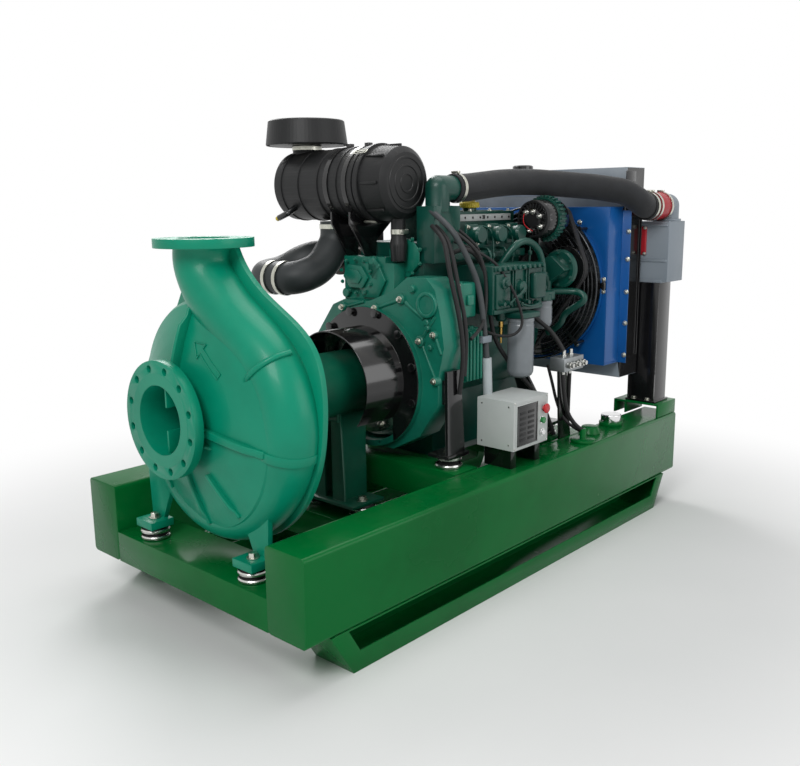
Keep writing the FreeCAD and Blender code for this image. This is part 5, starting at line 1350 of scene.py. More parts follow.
        # Painted light: both side covers take the lit copy of the engine green.
        shop.add("ribbed_cover", ribs, Finishes.PAINTED_LIGHT_GREEN)
        square = [block("case", (898, -316, 884), (984, -180, 1000), 6.0, 3),
                  block("lip", (894, -322, 878), (903, -200, 1006), 2.5, 2),
                  block("handle", (930, -326, 925), (962, -314, 960), 4.0, 3)]
        shop.add("square_cover", square, Finishes.PAINTED_LIGHT_GREEN)
        heads = [spot(894, y, z) for y, z in ((-314, 888), (-314, 996), (-260, 996), (-260, 888))]
        shop.dress(bolts("side_cover_bolts", heads, 9, 5), Finishes.ZINC)

    def _rocker_strip(self, shop: Workshop) -> None:
        """The pale strip along the rocker cover with its screws, and the cover's own ribs."""
        strip = block("rocker_strip", (1066, -150, 1196), (1412, -144.5, 1220), 1.0)
        shop.dress(strip, Finishes.BOX)
        holes = [turned("grommet", [(0, 0), (0, 4), (-1.5, 4.5), (-2.5, 3), (-2.5, 0)],
                        spot(x, -150, 1208), Axis.Y, 16) for x in range(1090, 1410, 44)]
        holes.append(block("socket", (1236, -152.5, 1202), (1248, -149, 1216), 1.0))
        shop.add("strip_grommets", holes, Finishes.SCREEN)
        ribs = [block("rib", (1090 + 62 * i, -120, 1228), (1098 + 62 * i, 120, 1233), 2.0)
                for i in (0, 1, 4, 5)]
        shop.add("rocker_ribs", ribs, Finishes.PAINTED_SHADE_GREEN)
        heads = [spot(x, y, 1230) for x in (1078, 1190, 1310, 1424) for y in (-128, 128)]
        shop.dress(bolts("rocker_bolts", heads, 10, 6, Vector((0, 0, 1))), Finishes.ZINC)

    def _filler_cap(self, shop: Workshop) -> None:
        """The yellow filler cap with its grip ridges."""
        x, y = 1222.0, -100.0
        disc = turned("oil_filler_cap_dressed", [(0, 0), (0, 34), (2, 36), (17, 36), (21, 33),
                                                 (22, 28), (22, 0)], spot(x, y, 1242), Axis.Z, 40)
        stem = turned("stem", [(-16, 0), (-16, 19), (0.5, 19), (0.5, 0)], spot(x, y, 1242), Axis.Z, 24)
        grip = block("grip", (x - 28, y - 7, 1263), (x + 28, y + 7, 1275), 4.0, 3)
        tooth = block("tooth", (x - 1.8, y + 33.5, 1244), (x + 1.8, y + 36.6, 1258), 0.8)
        turns = [swing((x, y, 0), 12 * i, "Z") for i in range(30)]
        cap = joined("filler_cap", [disc, stem, grip, *copied(tooth, turns)])
        shop.dress(cap, Finishes.YELLOW, shop.body_of["oil_filler_cap"])
        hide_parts("oil_filler_cap")

    def _head_details(self, shop: Workshop) -> None:
        """Inlet branches, injector pipes and bolts on the near side of the head."""
        pieces = []
        for x in (1110, 1230, 1350):
            pieces.append(turned("branch", [(-56, 0), (-56, 26), (-46, 30), (-8, 24), (0, 22), (0, 0)],
                                 spot(x, -190, 1150), Axis.Y, 28))
            pieces.append(block("flange", (x - 34, -202, 1112), (x + 34, -192, 1186), 4.0, 3))
        pieces.append(block("rail", (1000, -206, 1064), (1430, -194, 1092), 4.0, 3))
        for x in range(1020, 1430, 52):
            pieces.append(turned("stub", [(-12, 0), (-12, 9), (-10, 11), (0, 11), (0, 0)],
                                 spot(x, -196, 1078), Axis.Y, 18))
        shop.add("inlet_branches", pieces, Finishes.PAINTED_SHADE_GREEN)
        lines = []
        for x in (1164, 1284, 1396):
            run = [spot(x, -158, 1178), spot(x + 24, -196, 1182), spot(x + 44, -216, 1158),
                   spot(x + 42, -222, 1110), spot(x + 40, -224, 1060), spot(x + 34, -222, 1010)]
            lines.append(curve_line("line", run, 3.6, 3))
        shop.add("injector_lines", lines, Finishes.PAINTED_SHADE_GREEN)
        nuts = [spot(x + 40, -224, 1066) for x in (1164, 1284, 1396)]
        shop.dress(bolts("injector_nuts", nuts, 14, 16, Vector((0, 0, 1)), False), Finishes.PAINTED_SHADE_GREEN)
        heads = [spot(x + dx, -202, z) for x in (1110, 1230, 1350) for dx, z in ((-26, 1176), (26, 1120))]
        shop.dress(bolts("branch_bolts", heads, 10, 6, Vector((0, -1, 0))), Finishes.ZINC)

    def _filters(self, shop: Workshop) -> None:
        """The two spin-on canisters with their beads, domed ends and heads."""
        body = []
        for x, y, low, top, radius in ((1200, -350, 650, 863, 47), (1389, -310, 801, 905, 40)):
            profile = [(0, 0), (0, radius - 19), (3, radius - 12), (9, radius - 5), (18, radius - 1),
                       (24, radius), (top - low - 26, radius), (top - low - 22, radius - 1.6),
                       (top - low - 17, radius - 1.6), (top - low - 13, radius),
                       (top - low - 2, radius), (top - low, radius - 4), (top - low, 0)]
            body.append(turned("canister", profile, spot(x, y, low), Axis.Z, 56))
            body.append(turned("drain", [(-4, 0), (-4, 6), (0, 7), (2, 7), (2, 0)], spot(x, y, low + 1),
                               Axis.Z, 16))
        canisters = shop.add("filter_canisters", body, Finishes.FILTER)
        heads = [block("head", (1145, -395, 863), (1255, -265, 883), 5.0, 3),
                 turned("cap", [(0, 0), (0, 44), (6, 46), (14, 40), (18, 20), (18, 0)],
                        spot(1200, -350, 864), Axis.Z, 40),
                 block("head", (1350, -345, 905), (1430, -150, 939), 6.0, 3),
                 turned("cap", [(0, 0), (0, 38), (20, 38), (30, 30), (34, 14), (34, 0)],
                        spot(1389, -310, 905), Axis.Z, 40)]
        shop.add("filter_heads", heads, Finishes.PAINTED_SHADE_GREEN)
        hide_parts("fuel_filters")

    def _sensor(self, shop: Workshop) -> None:
        """The bright pressure sender on its elbow, above the large filter."""
        x, y = 1361, -300
        sender = [turned("can", [(0, 0), (0, 9), (6, 10), (8, 17), (38, 17), (42, 14), (44, 6), (52, 5),
                                 (52, 0)], spot(x, y, 922), Axis.Z, 32)]
        shop.add("pressure_sender", sender, Finishes.STEEL)
        elbow = curve_line("sender_elbow", [spot(x, y, 924), spot(x, y, 908), spot(x - 14, y, 898),
                                            spot(x - 60, y, 896), spot(x - 110, -262, 892)], 8, 4)
        shop.dress(elbow, Finishes.PAINTED_SHADE_GREEN)

    def _fuel_rail(self, shop: Workshop) -> None:
        """The lift pump on the block's side with its brass fittings."""
        face = -340
        pieces = [block("lid", (1056, face - 10, 900), (1136, face + 2, 1022), 5.0, 3),
                  block("foot", (1048, face - 6, 884), (1342, face + 2, 900), 3.0, 3),
                  block("rail", (1048, face - 9, 1030), (1342, face + 2, 1047), 4.0, 3),
                  block("governor", (1262, face - 26, 922), (1336, face + 2, 1014), 9.0, 4),
                  turned("boss", [(-24, 0), (-24, 16), (-20, 22), (-6, 24), (0, 30), (0, 0)],
                         spot(1198, face, 968), Axis.Y, 32),
                  turned("knob", [(-22, 0), (-22, 9), (-18, 12), (-12, 12), (-9, 20), (0, 22), (0, 0)],
                         spot(1096, face - 9, 990), Axis.Y, 28),
                  turned("foot_boss", [(-34, 0), (-34, 15), (-28, 20), (0, 22), (0, 0)],
                         spot(1150, -300, 884), Axis.Z, 24)]
        for x in range(1062, 1342, 30):
            pieces.append(turned("stub", [(-9, 0), (-9, 6), (-7, 8), (0, 8), (0, 0)],
                                 spot(x, face - 9, 1038), Axis.Y, 16))
        for x in (1150, 1166, 1232, 1248):
            pieces.append(block("rib", (x, face - 8, 902), (x + 6, face + 2, 1028), 2.0))
        for x, z in ((1076, 920), (1112, 920), (1180, 912), (1222, 916), (1290, 908)):
            pieces.append(turned("union", [(-26, 0), (-26, 7), (-14, 7), (-14, 10), (-4, 10), (0, 8),
                                           (0, 0)], spot(x, face - 4, z), Axis.Y, 18))
        for run, radius in (([(1180, face - 28, 912), (1206, face - 34, 902), (1250, face - 32, 900),
                              (1290, face - 30, 908)], 4.5),
                            ([(1112, face - 28, 920), (1126, face - 36, 940), (1170, face - 34, 950),
                              (1200, face - 24, 968)], 4.0)):
            pieces.append(curve_line("line", [spot(*p) for p in run], radius, 3))
        shop.add("lift_pump", pieces, Finishes.PAINTED_SHADE_GREEN)
        fittings = [turned("hose_end", [(-90, 0), (-90, 4), (-60, 4), (-58, 6), (-34, 6), (-32, 9),
                                        (-8, 9), (0, 7), (0, 0)], spot(1150, -300, 862), Axis.Z, 20)]
        shop.add("brass_unions", fittings, Finishes.BRASS)

    def _cables(self, shop: Workshop) -> None:
        """Black looms, the grey conduit and the white sleeve that ends at the control box."""
        looms = [
            [(905, -190, 1185), (880, -262, 1150), (862, -292, 1080), (858, -312, 1005),
             (862, -336, 920), (868, -352, 815), (868, -352, 722), (862, -342, 640)],
            [(925, -180, 1190), (905, -250, 1162), (886, -296, 1084), (882, -322, 985),
             (886, -346, 890), (884, -356, 800), (876, -352, 700)],
            [(950, -230, 1090), (972, -262, 1112), (1020, -286, 1094), (1056, -300, 1030),
             (1072, -302, 960), (1082, -302, 880), (1104, -304, 790), (1192, -316, 687),
             (1290, -330, 600), (1360, -350, 520), (1400, -370, 400)],
            [(1010, -200, 1130), (1060, -310, 1085), (1100, -350, 1015), (1136, -380, 931),
             (1150, -398, 846), (1114, -380, 806), (1060, -330, 812), (1030, -290, 840)],
            [(985, -200, 1175), (1010, -290, 1120), (1030, -318, 1040), (1034, -322, 950),
             (1010, -334, 880), (960, -350, 840), (905, -356, 820)],
            [(1410, -330, 660), (1408, -352, 600), (1414, -370, 520), (1430, -400, 440),
             (1432, -470, 420)],
            [(1040, -150, 1196), (1052, -240, 1140), (1090, -262, 1080), (1100, -240, 1020)],
        ]
        runs = [curve_line("loom", [spot(*p) for p in way], radius, 3)
                for way, radius in zip(looms, (8, 7, 8, 5, 6, 6, 5))]
        shop.add("cable_looms", runs, Finishes.RUBBER)
        grey = curve_line("grey_conduit", [spot(*p) for p in (
            (920, -170, 1236), (905, -262, 1190), (935, -300, 1110), (985, -318, 1010),
            (998, -328, 930), (1002, -336, 850), (1010, -342, 760), (1012, -344, 700))], 10, 4)
        shop.dress(grey, Finishes.CONDUIT)
        sleeve = curve_line("conduit_sleeve", [spot(*p) for p in (
            (1011, -343, 742), (1014, -345, 640), (1018, -346, 560), (1018, -348, 470),
            (1016, -352, 392))], 16, 5)
        shop.dress(sleeve, Finishes.SLEEVE)
        clip = block("conduit_clip", (978, -352, 796), (1026, -310, 818), 2.0)
        shop.dress(clip, Finishes.GREY)

    def _hoses(self, shop: Workshop) -> None:
        """The green coolant hoses at the front of the engine."""
        ways = [([(1240, -232, 1040), (1262, -262, 1098), (1300, -282, 1126), (1350, -292, 1116),
                  (1392, -300, 1076), (1404, -306, 1005), (1402, -306, 936)], 13),
                ([(1500, -262, 925), (1560, -330, 928), (1566, -380, 918), (1564, -390, 892),
                  (1556, -350, 866), (1550, -306, 836), (1548, -296, 790), (1540, -240, 760)], 13),
                ([(1430, -206, 1010), (1470, -262, 1000), (1500, -268, 960), (1496, -262, 925)], 16)]
        runs = [curve_line("hose", [spot(*p) for p in way], radius, 4) for way, radius in ways]
        for place in ((1404, -306, 1000), (1404, -306, 950)):
            runs.append(turned("band", hoop(6, 12, 15), spot(*place), Axis.Z, 28))
        shop.add("coolant_hoses", runs, Finishes.PAINTED_SHADE_GREEN)


@dataclass
class FrontDrive:
    """The belt, its pulleys, the fan, the alternator and the coolant pump."""

    def build(self, shop: Workshop) -> None:
        """Dress the pulleys and the fan and add the alternator's and the pump's details."""
        for node in ("crank_pulley", "coolant_pump_pulley", "alternator_pulley"):
            shop.refine(node, Finishes.BLACK, width=1.0)
        shop.refine("cooling_fan", Finishes.PLASTIC, width=0.6, segments=1)
        shop.refine("drive_belt", Finishes.RUBBER, width=0.8)
        shop.refine("alternator", Finishes.BLACK, width=1.5)
        self._alternator(shop)
        self._pump_disc(shop)

    def _alternator(self, shop: Workshop) -> None:
        """Cooling slots, terminals and the finned bracket ring of the alternator."""
        x, y, z = 1414.0, -250.0, 1199.0
        ribs = []
        for angle in range(0, 360, 15):
            rib = block("slat", (x - 4, y + 38, z - 2.2), (x + 14, y + 62, z + 2.2), 1.2)
            rib.data.transform(swing((0, y, z), angle, "X"))
            ribs.append(rib)
        ribs.append(turned("rim", [(-6, 60), (-6, 67), (8, 70), (8, 60)], spot(x, y, z), steps=48))
        ribs.append(turned("hub", [(-8, 0), (-8, 28), (-5, 36), (6, 38), (6, 0)], spot(x, y, z)))
        shop.add("alternator_face", ribs, Finishes.PLASTIC)
        posts = [turned("post", [(-20, 0), (-20, 4), (-12, 4), (-12, 8), (-6, 8), (-6, 10), (4, 10),
                                 (4, 0)], spot(x - 6, y + dy, z + dz), steps=18)
                 for dy, dz in ((-6, 26), (-34, 10), (-38, -28), (10, -44), (24, 24))]
        shop.add("alternator_terminals", posts, Finishes.STEEL)
        wire = curve_line("alternator_wire", [spot(x - 22, y + 24, z + 24), spot(x - 26, y + 30, z),
                                              spot(x - 24, y + 18, z - 30), spot(x - 10, y - 6, z - 44)],
                          1.6, 2)
        shop.dress(wire, Finishes.RED)
        teeth = []
        for angle in range(0, 360, 12):
            tooth = block("tooth", (x + 62, y + 71, z - 4), (x + 96, y + 86, z + 4), 1.5)
            tooth.data.transform(swing((0, y, z), angle, "X"))
            teeth.append(tooth)
        teeth.append(turned("hoop", [(60, 71), (60, 78), (98, 78), (98, 71)], spot(x, y, z), steps=60))
        teeth.append(block("arm", (x + 64, -190, 1080), (x + 96, -152, 1150), 5.0, 3))
        shop.add("alternator_ring", teeth, Finishes.PAINTED_SHADE_GREEN)

    def _pump_disc(self, shop: Workshop) -> None:
        """The coolant pump's round housing with its cast rim and bolts."""
        place = spot(1526, -292, 1010)
        disc = [turned("disc", [(0, 0), (0, 66), (6, 72), (18, 74), (24, 70), (24, 0)], place),
                turned("snout", [(-30, 0), (-30, 26), (-20, 34), (0, 44), (0, 0)], place)]
        shop.add("coolant_pump_disc", disc, Finishes.PAINTED_SHADE_GREEN)
        heads = [spot(1526, -292 + y, 1010 + z) for y, z in ring_of(6, 60, 30)]
        shop.dress(bolts("coolant_pump_bolts", heads, 10, 6), Finishes.PAINTED_SHADE_GREEN)


@dataclass
class Radiator:
    """The shroud, fan guard, core, tanks and the charge-air pipe beside them."""

    shroud_x: float = 1700.0
    pipe_side: float = -472.0
    pipe_height: float = 1240.0

    def build(self, shop: Workshop) -> None:
        """Dress the cooling pack and add its fins, flange bolts and clamps."""
        shop.refine("fan_shroud", Finishes.SHROUD, width=1.0)
        shop.keep("fan_guard", Finishes.GUARD)
        shop.refine("radiator_core", Finishes.FINS, width=0.8, segments=1)
        tanks = shop.refine("radiator_tanks", Finishes.GREY, width=3.0, segments=3)
        shop.overpaint(tanks, Finishes.BLACK, (1810, -420, 625), (1952, -396, 1240))
        shop.refine("silicone_sleeve", Finishes.SILICONE, width=1.5)
        shop.refine("charge_air_hose", Finishes.CLOTH_HOSE, width=1.0, segments=1)
        self._shroud_bolts(shop)
        self._fins(shop)
        self._header_details(shop)
        self._cuff(shop)

    def _shroud_bolts(self, shop: Workshop) -> None:
        """Flange bolts, plate bolts and the rolled ring round the fan opening."""
        heads = [spot(1810, y, z) for y in (-430, 430) for z in (1144, 1036, 908, 783, 655)]
        heads += [spot(self.shroud_x, y, z) for y, z in ((-276, 1180), (-390, 962), (-390, 916),
                                                         (-280, 697), (300, 1180), (300, 697))]
        shop.dress(bolts("shroud_bolts", heads, 13, 8), Finishes.ZINC)
        ring = turned("opening_ring", [(-14, 300), (-14, 303), (0, 303), (0, 300)],
                      spot(self.shroud_x, -85, 935), steps=96)
        seams = [block("seam", (1704, -405, z), (1808, -402.5, z + 2.5), 0.6) for z in (1236, 628)]
        seams.append(block("fold", (1700, -405.5, 626), (1703, -402.5, 1238), 0.8))
        shop.add("shroud_ring", [ring, *seams], Finishes.SHROUD)
        wires = []
        for radius in (288, 270, 234, 216, 180, 162):
            section = [(3 * math.cos(a), radius + 3 * math.sin(a))
                       for a in (math.radians(45 * i) for i in range(9))]
            wires.append(turned("wire", section, spot(1644.4, -85, 935), steps=96))
        shop.add("guard_wires", wires, Finishes.GUARD)
        tab = block("tab", (1686, -402, 925), (1700, -372, 953), 3.0, 3)
        shop.add("guard_tabs", [tab], Finishes.BLACK)

    def _fins(self, shop: Workshop) -> None:
        """Tubes and fins on both open faces of the cores."""
        tubes = [block("tube", (2052.5, -352, 716 + 19 * i), (2056, 352, 722 + 19 * i), 1.0)
                 for i in range(24)]
        tubes += [block("tube", (1810.5, -380, 660 + 26 * i), (1813.5, 380, 667 + 26 * i), 1.0)
                  for i in range(22)]
        shop.add("core_tubes", tubes, Finishes.FINS)

    def _header_details(self, shop: Workshop) -> None:
        """The window and hole on the header tank, the cap, and the side tank's fittings."""
        dark = [block("window", (1802, -417.5, 1335), (1878, -413, 1376), 2.0),
                turned("hole", [(-3.5, 0), (-3.5, 9), (0, 9.5), (0, 0)], spot(1860, -414, 1309),
                       Axis.Y, 24)]
        shop.add("header_window", dark, Finishes.SCREEN)
        cap = turned("filler_neck", [(-4, 0), (-4, 34), (8, 34), (10, 44), (22, 44), (26, 38), (26, 0)],
                     spot(1880, 120, 1390), Axis.Z, 40)
        shop.dress(cap, Finishes.BLACK)
        red = block("red_joint", (1950, -434, 1046), (1959, -390, 1160), 4.0, 3)
        shop.dress(red, Finishes.SILICONE)
        heads = [spot(1950, y, z) for y in (-428, -396) for z in (1052, 1154)]
        shop.dress(bolts("joint_bolts", heads, 9, 5), Finishes.ZINC)
        feet = [block("foot", (1954, side - 72, 936), (2046, side + 72, 950), 3.0, 3)
                for side in (-434, 434)]
        feet += [block("band", (1952, side - 70, z), (2047, side + 70, z + 10), 2.0)
                 for side in (-452, 452) for z in (1020, 1160)]
        feet += [turned("flange", [(-5, 48), (-5, 57), (0, 58), (5, 57), (5, 48)],
                        spot(2042, self.pipe_side, 1184), Axis.Z, 48)]
        shop.add("tank_feet", feet, Finishes.GREY)

    def _cuff(self, shop: Workshop) -> None:
        """The black cuff and the two clamps on the charge-air hose."""
        cuff = turned("hose_cuff", [(-4, 48.3), (-4, 52), (30, 53), (30, 48.3)],
                      spot(1858, self.pipe_side, self.pipe_height), steps=48)
        shop.dress(cuff, Finishes.RUBBER)
        bands = []
        for x in (1872, 1898, 1982):
            radius = 53.5 if x < 1890 else 55.5
            bands.append(turned("band", [(-6, radius - 1), (-7, radius + 1), (7, radius + 1),
                                         (6, radius - 1)], spot(x, self.pipe_side, self.pipe_height),
                                steps=48))
            bands.append(block("screw", (x - 6, self.pipe_side - 14, self.pipe_height + radius),
                               (x + 6, self.pipe_side + 14, self.pipe_height + radius + 7), 1.5))
        bands.append(turned("band", [(-6, 49), (-7, 51), (7, 51), (6, 49)],
                            spot(1068, -160, 1310), steps=48))
        bands.append(block("screw", (1062, -176, 1360), (1074, -144, 1368), 1.5))
        shop.add("hose_bands", bands, Finishes.ZINC)


@dataclass
class AirCleaner:
    """The big air cleaner with its cover, rain cap, valve, indicator and duct."""

    x: float = 870.0
    height: float = 1327.0
    radius: float = 126.0
    joint: float = 6.0

    def build(self, shop: Workshop) -> None:
        """Dress the shells and add their ribs, straps and clips."""
        shop.refine("air_cleaner_housing", Finishes.PLASTIC, width=2.0, segments=3)
        shop.refine("air_cleaner_cover", Finishes.PLASTIC, width=2.5, segments=3)
        shop.refine("rain_cap", Finishes.PLASTIC, width=2.0, segments=3)
        shop.keep("filter_element", Finishes.PAPER)
        shop.keep("intake_duct", Finishes.DUCT)
        for name, angle in (("left_cover_latch", 200), ("right_cover_latch", 320),
                            ("top_cover_latch", 80)):
            self._latch(shop, name, angle)
        self._shell_details(shop)
        self._cap_details(shop)
        self._valve_and_indicator(shop)

    def _at_angle(self, across: float, along: float, up: float, angle: float) -> Vector:
        """A point on the cleaner's skin, given across, along and above it."""
        turn = math.radians(angle)
        out = self.radius + up
        return spot(self.x + out * math.sin(turn) + across * math.cos(turn), self.joint + along,
                    self.height + out * math.cos(turn) - across * math.sin(turn))

    def _latch(self, shop: Workshop, node: str, angle: float) -> None:
        """A bent wire clip with its lever tongue, in the place of the CAD latch."""
        wire = [(-9.5, 41.5), (-9.5, 10), (-7, -10), (-9, -17.5), (9, -17.5), (7, -10), (9.5, 10),
                (9.5, 41.5), (-9.5, 41.5)]
        loop = curve_line("wire", [self._at_angle(a, b, 10.3, angle) for a, b in wire], 1.5, 2)
        tongue = [(0, 41.5), (0, 24), (0, 4), (0, -12)]
        lever = curve_line("tongue", [self._at_angle(a, b, 10.3, angle) for a, b in tongue], 2.0, 2)
        clip = joined(node + "_wire", [loop, lever])
        shop.dress(clip, Finishes.ZINC, shop.body_of[node])
        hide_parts(node)

    def _shell_details(self, shop: Workshop) -> None:
        """Raised rings on the shell and the cover, and the two steel straps."""
        rings = []
        for y in (30, 104, 200, 300, 392):
            skin = self.radius - 4 * max(0.0, y - 16) / 422
            rings.append(turned("ring", [(-5, skin - 1), (-3.5, skin + 3), (3.5, skin + 3),
                                         (5, skin - 1)], spot(self.x, y, self.height), Axis.Y, 72))
        for radius in (30, 58, 84):
            rings.append(turned("ring", [(-2.4, radius - 3), (-2.4, radius + 3), (1, radius + 5),
                                         (1, radius - 5)], spot(self.x, -112, self.height), Axis.Y,
                                64))
        for angle in range(0, 360, 45):
            lug = block("lug", (self.x - 5, -86, self.height + 116), (self.x + 5, -12,
                                                                      self.height + 129), 2.0)
            lug.data.transform(swing((self.x, 0, self.height), angle, "Y"))
            rings.append(lug)
        shop.add("cleaner_ribs", rings, Finishes.PLASTIC)
        straps = [turned("strap", hoop(10, 126.2, 128.4),
                         spot(self.x, y, self.height), Axis.Y, 72) for y in (64, 154)]
        straps += [block("clamp", (self.x - 12, y - 9, 1451), (self.x + 12, y + 9, 1466), 2.0)
                   for y in (64, 154)]
        shop.add("cleaner_straps", straps, Finishes.BLACK)

    def _cap_details(self, shop: Workshop) -> None:
        """The flared skirt of the rain cap and the clamp on its neck."""
        skirt = turned("cap_skirt", [(1473, 146), (1471, 148), (1475, 149.5), (1555, 139),
                                     (1558.5, 135), (1558.5, 0), (1554, 0), (1554, 134),
                                     (1522, 143)],
                       spot(self.x, 380, 0), Axis.Z, 72)
        shop.dress(skirt, Finishes.PLASTIC)
        band = turned("cap_band", hoop(7, 52.2, 54.5),
                      spot(self.x, 380, 1461), Axis.Z, 48)
        shop.dress(band, Finishes.ZINC)

    def _valve_and_indicator(self, shop: Workshop) -> None:
        """The dust valve's clamp, the service indicator and the duct's clamps."""
        bands = [turned("band", hoop(8, 24.2, 27),
                        spot(866, -74, 1166), Axis.Z, 40),
                 block("screw", (846, -104, 1160), (886, -96, 1174), 2.0)]
        bands += [turned("band", hoop(8, 58.5, 61),
                         spot(670, y, 1005), Axis.Y, 56) for y in (290, 350)]
        bands += [turned("band", hoop(8, 58.5, 61),
                         spot(860, 224, 1182), Axis.Z, 56)]
        shop.add("duct_bands", bands, Finishes.ZINC)
        stub = curve_line("indicator", [spot(800, 349, 1262), spot(745, 349, 1231),
                                        spot(740, 360, 1226), spot(742, 398, 1214)], 11, 4)
        shop.dress(stub, Finishes.SCREEN)
        tip = curve_line("indicator_tip", [spot(742, 398, 1214), spot(743, 410, 1210)], 9, 3)
        shop.dress(tip, Finishes.YELLOW)


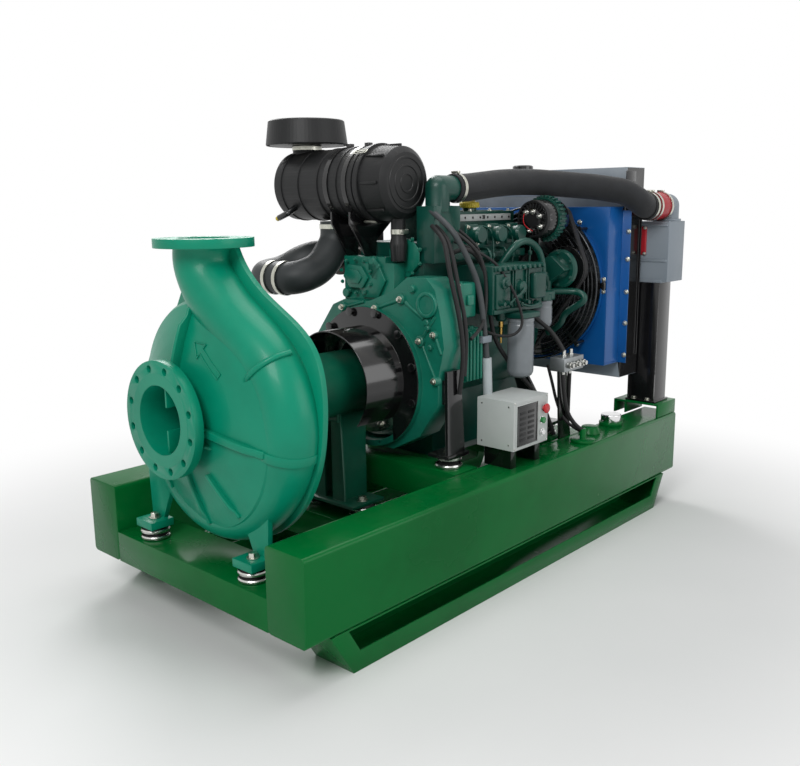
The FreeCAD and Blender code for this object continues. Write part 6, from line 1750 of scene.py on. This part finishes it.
@dataclass
class Controls:
    """The control box with its buttons and the fittings on the fuel-tank beam."""

    face: float = -500.0
    low_top: float = 230.0
    pump_mounts: tuple[tuple[float, float], ...] = ((60, -247), (60, 247), (632, -110), (632, 110))

    def build(self, shop: Workshop) -> None:
        """Dress the box and the tank fittings and add the display and the buttons."""
        box = shop.refine("control_box", Finishes.BOX, width=2.0, segments=3)
        shop.overpaint(box, Finishes.BLACK, (955, -490, 380), (1145, -360, 450.5))
        fittings = shop.refine("tank_fittings", Finishes.SKID, width=1.5)
        shop.overpaint(fittings, Finishes.BLACK, (1370, -400, 388), (1490, -380, 654))
        shop.overpaint(fittings, Finishes.ALLOY, (1330, -460, 652), (1490, -380, 720))
        shop.refine("fuel_cap", Finishes.CHROME, width=3.0, segments=4)
        shop.refine("isolator_mounts", Finishes.RUBBER, width=2.0, segments=3)
        fixings = shop.refine("bolts_and_clamps", Finishes.ZINC, width=0.8)
        shop.overpaint(fixings, Finishes.BLACK, (740, -250, 420), (771, 250, 920))
        shop.refine("engine_hoses", Finishes.PAINTED_SHADE_GREEN, width=0.5, segments=1)
        self._display(shop)
        self._buttons(shop)
        self._beam_fittings(shop)
        self._mount_rings(shop)

    def _display(self, shop: Workshop) -> None:
        """The dark display with its raised bezel and plain indicator windows."""
        x0, x1, z0, z1 = 962, 1080, 465, 603
        bezel = [block("bezel", (x0, -508, z0), (x1, -505.5, z0 + 6), 1.0),
                 block("bezel", (x0, -508, z1 - 6), (x1, -505.5, z1), 1.0),
                 block("bezel", (x0, -508, z0), (x0 + 6, -505.5, z1), 1.0),
                 block("bezel", (x1 - 6, -508, z0), (x1, -505.5, z1), 1.0),
                 block("glass", (x0 + 2, -507, z0 + 2), (x1 - 2, -505.8, z1 - 2), 0.5)]
        shop.add("display_bezel", bezel, Finishes.SCREEN)
        keys = []
        for row in range(6):
            for column in (0, 1):
                low = x0 + 14 + 46 * column
                keys.append(block("window", (low, -508, z0 + 16 + 18 * row),
                                  (low + 36, -506.8, z0 + 25 + 18 * row), 0.6))
        shop.add("display_windows", keys, Finishes.PLASTIC)
        places = [(x, self.face, z, Axis.Y) for x in (956, 1146) for z in (457, 612)]
        places += [(950, y, z, Axis.X) for y in (-480, -370) for z in (470, 600)]
        screws = [turned("screw", [(-2, 0), (-2, 3), (0, 3.4), (0, 0)], spot(x, y, z), axis, 16)
                  for x, y, z, axis in places]
        shop.add("box_screws", screws, Finishes.STEEL)

    def _buttons(self, shop: Workshop) -> None:
        """The mushroom stop, the start button and the key, each in place of its CAD piece."""
        stop = turned("stop_head", [(-16, 0), (-16, 9), (-14, 15), (-11, 17), (-8, 16.5), (-6, 12),
                                    (-6, 8), (15, 8), (15, 0)], spot(1130, self.face, 569), Axis.Y, 40)
        shop.dress(stop, Finishes.RED, shop.body_of["emergency_stop_button"])
        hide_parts("emergency_stop_button")
        start = turned("start_head", [(-11, 0), (-11, 8), (-10, 11), (-5, 11), (-4, 8), (17, 8),
                                      (17, 0)], spot(1117, self.face, 530), Axis.Y, 40)
        shop.dress(start, Finishes.GREEN, shop.body_of["start_button"])
        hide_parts("start_button")
        plug = turned("plug", [(-10, 0), (-10, 8), (-8, 10), (-1.2, 11), (-1.2, 8), (20, 8), (20, 0)],
                      spot(1117, self.face, 487), Axis.Y, 40)
        blade = block("blade", (1116, self.face - 10, 479), (1118, self.face - 8, 495), 0.5)
        key = joined("key_barrel", [plug, blade])
        shop.dress(key, Finishes.CHROME, shop.body_of["key_switch"])
        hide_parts("key_switch")
        rings = [turned("ring", [(-height, 8.4), (-height, 13), (-0.2, 14), (-0.2, 8.4)],
                        spot(x, self.face, z), Axis.Y, 36)
                 for x, z, height in ((1130, 569, 0.8), (1117, 530, 0.8), (1117, 487, 3.4))]
        shop.add("button_rings", rings, Finishes.CHROME)

    def _beam_fittings(self, shop: Workshop) -> None:
        """Hoses and unions on the valve block."""
        unions = [turned("union", [(-26, 0), (-26, 8), (-16, 8), (-16, 12), (-4, 12), (0, 9), (0, 0)],
                         spot(x, -450, 680), Axis.Y, 20) for x in (1356, 1400, 1444)]
        unions += [turned("union", [(0, 0), (0, 10), (8, 10), (8, 7), (24, 7), (24, 0)],
                          spot(x, -420, 705), Axis.Z, 20) for x in (1376, 1424)]
        unions += [turned("union", [(-22, 0), (-22, 6), (-6, 9), (0, 9), (0, 0)],
                          spot(x, -424, 655), Axis.Z, 20) for x in (1366, 1412)]
        shop.add("valve_unions", unions, Finishes.STEEL)
        ways = [[(1366, -424, 640), (1364, -430, 590), (1372, -440, 500), (1410, -462, 440),
                 (1428, -476, 428)],
                [(1412, -424, 640), (1416, -420, 560), (1440, -404, 470), (1480, -380, 400)],
                [(1376, -420, 724), (1370, -380, 790), (1330, -330, 840), (1300, -300, 880)]]
        hoses = [curve_line("hose", [spot(*p) for p in way], 8, 4) for way in ways]
        shop.add("fuel_hoses", hoses, Finishes.RUBBER)

    def _mount_rings(self, shop: Workshop) -> None:
        """Bright cups round the engine's rubber mounts."""
        cups = [turned("cup", [(2, 42.5), (2, 45), (9, 46), (14, 44), (15, 42.5)],
                       spot(x, y, 384), Axis.Z, 48) for x in (858, 1440) for y in (-300, 300)]
        cups += [turned("dome", [(30, 42.5), (30, 44), (36, 44), (38, 42.5)],
                        spot(x, y, 384), Axis.Z, 48) for x in (858, 1440) for y in (-300, 300)]
        cups += [turned("cup", [(low, 42.5), (low, 45), (low + 6, 46), (low + 10, 42.5)],
                        spot(x, y, self.low_top), Axis.Z, 48)
                 for x, y in self.pump_mounts for low in (3, 24)]
        shop.add("mount_cups", cups, Finishes.STEEL, slot="machined_steel")


def main() -> None:
    """Build the whole set and log each maker as it finishes and the number of finishes in use."""
    logging.basicConfig(level=logging.INFO, format="%(name)s: %(message)s")
    shop = Workshop()
    for maker in (Studio(), Skid(), Pump(), Coupling(), Engine(), FrontDrive(), Radiator(),
                  AirCleaner(), Controls()):
        maker.build(shop)
        LOG.info("%s done", type(maker).__name__)
    LOG.info("%d finishes in use", len(shop.made))


if __name__ == "__main__":
    main()
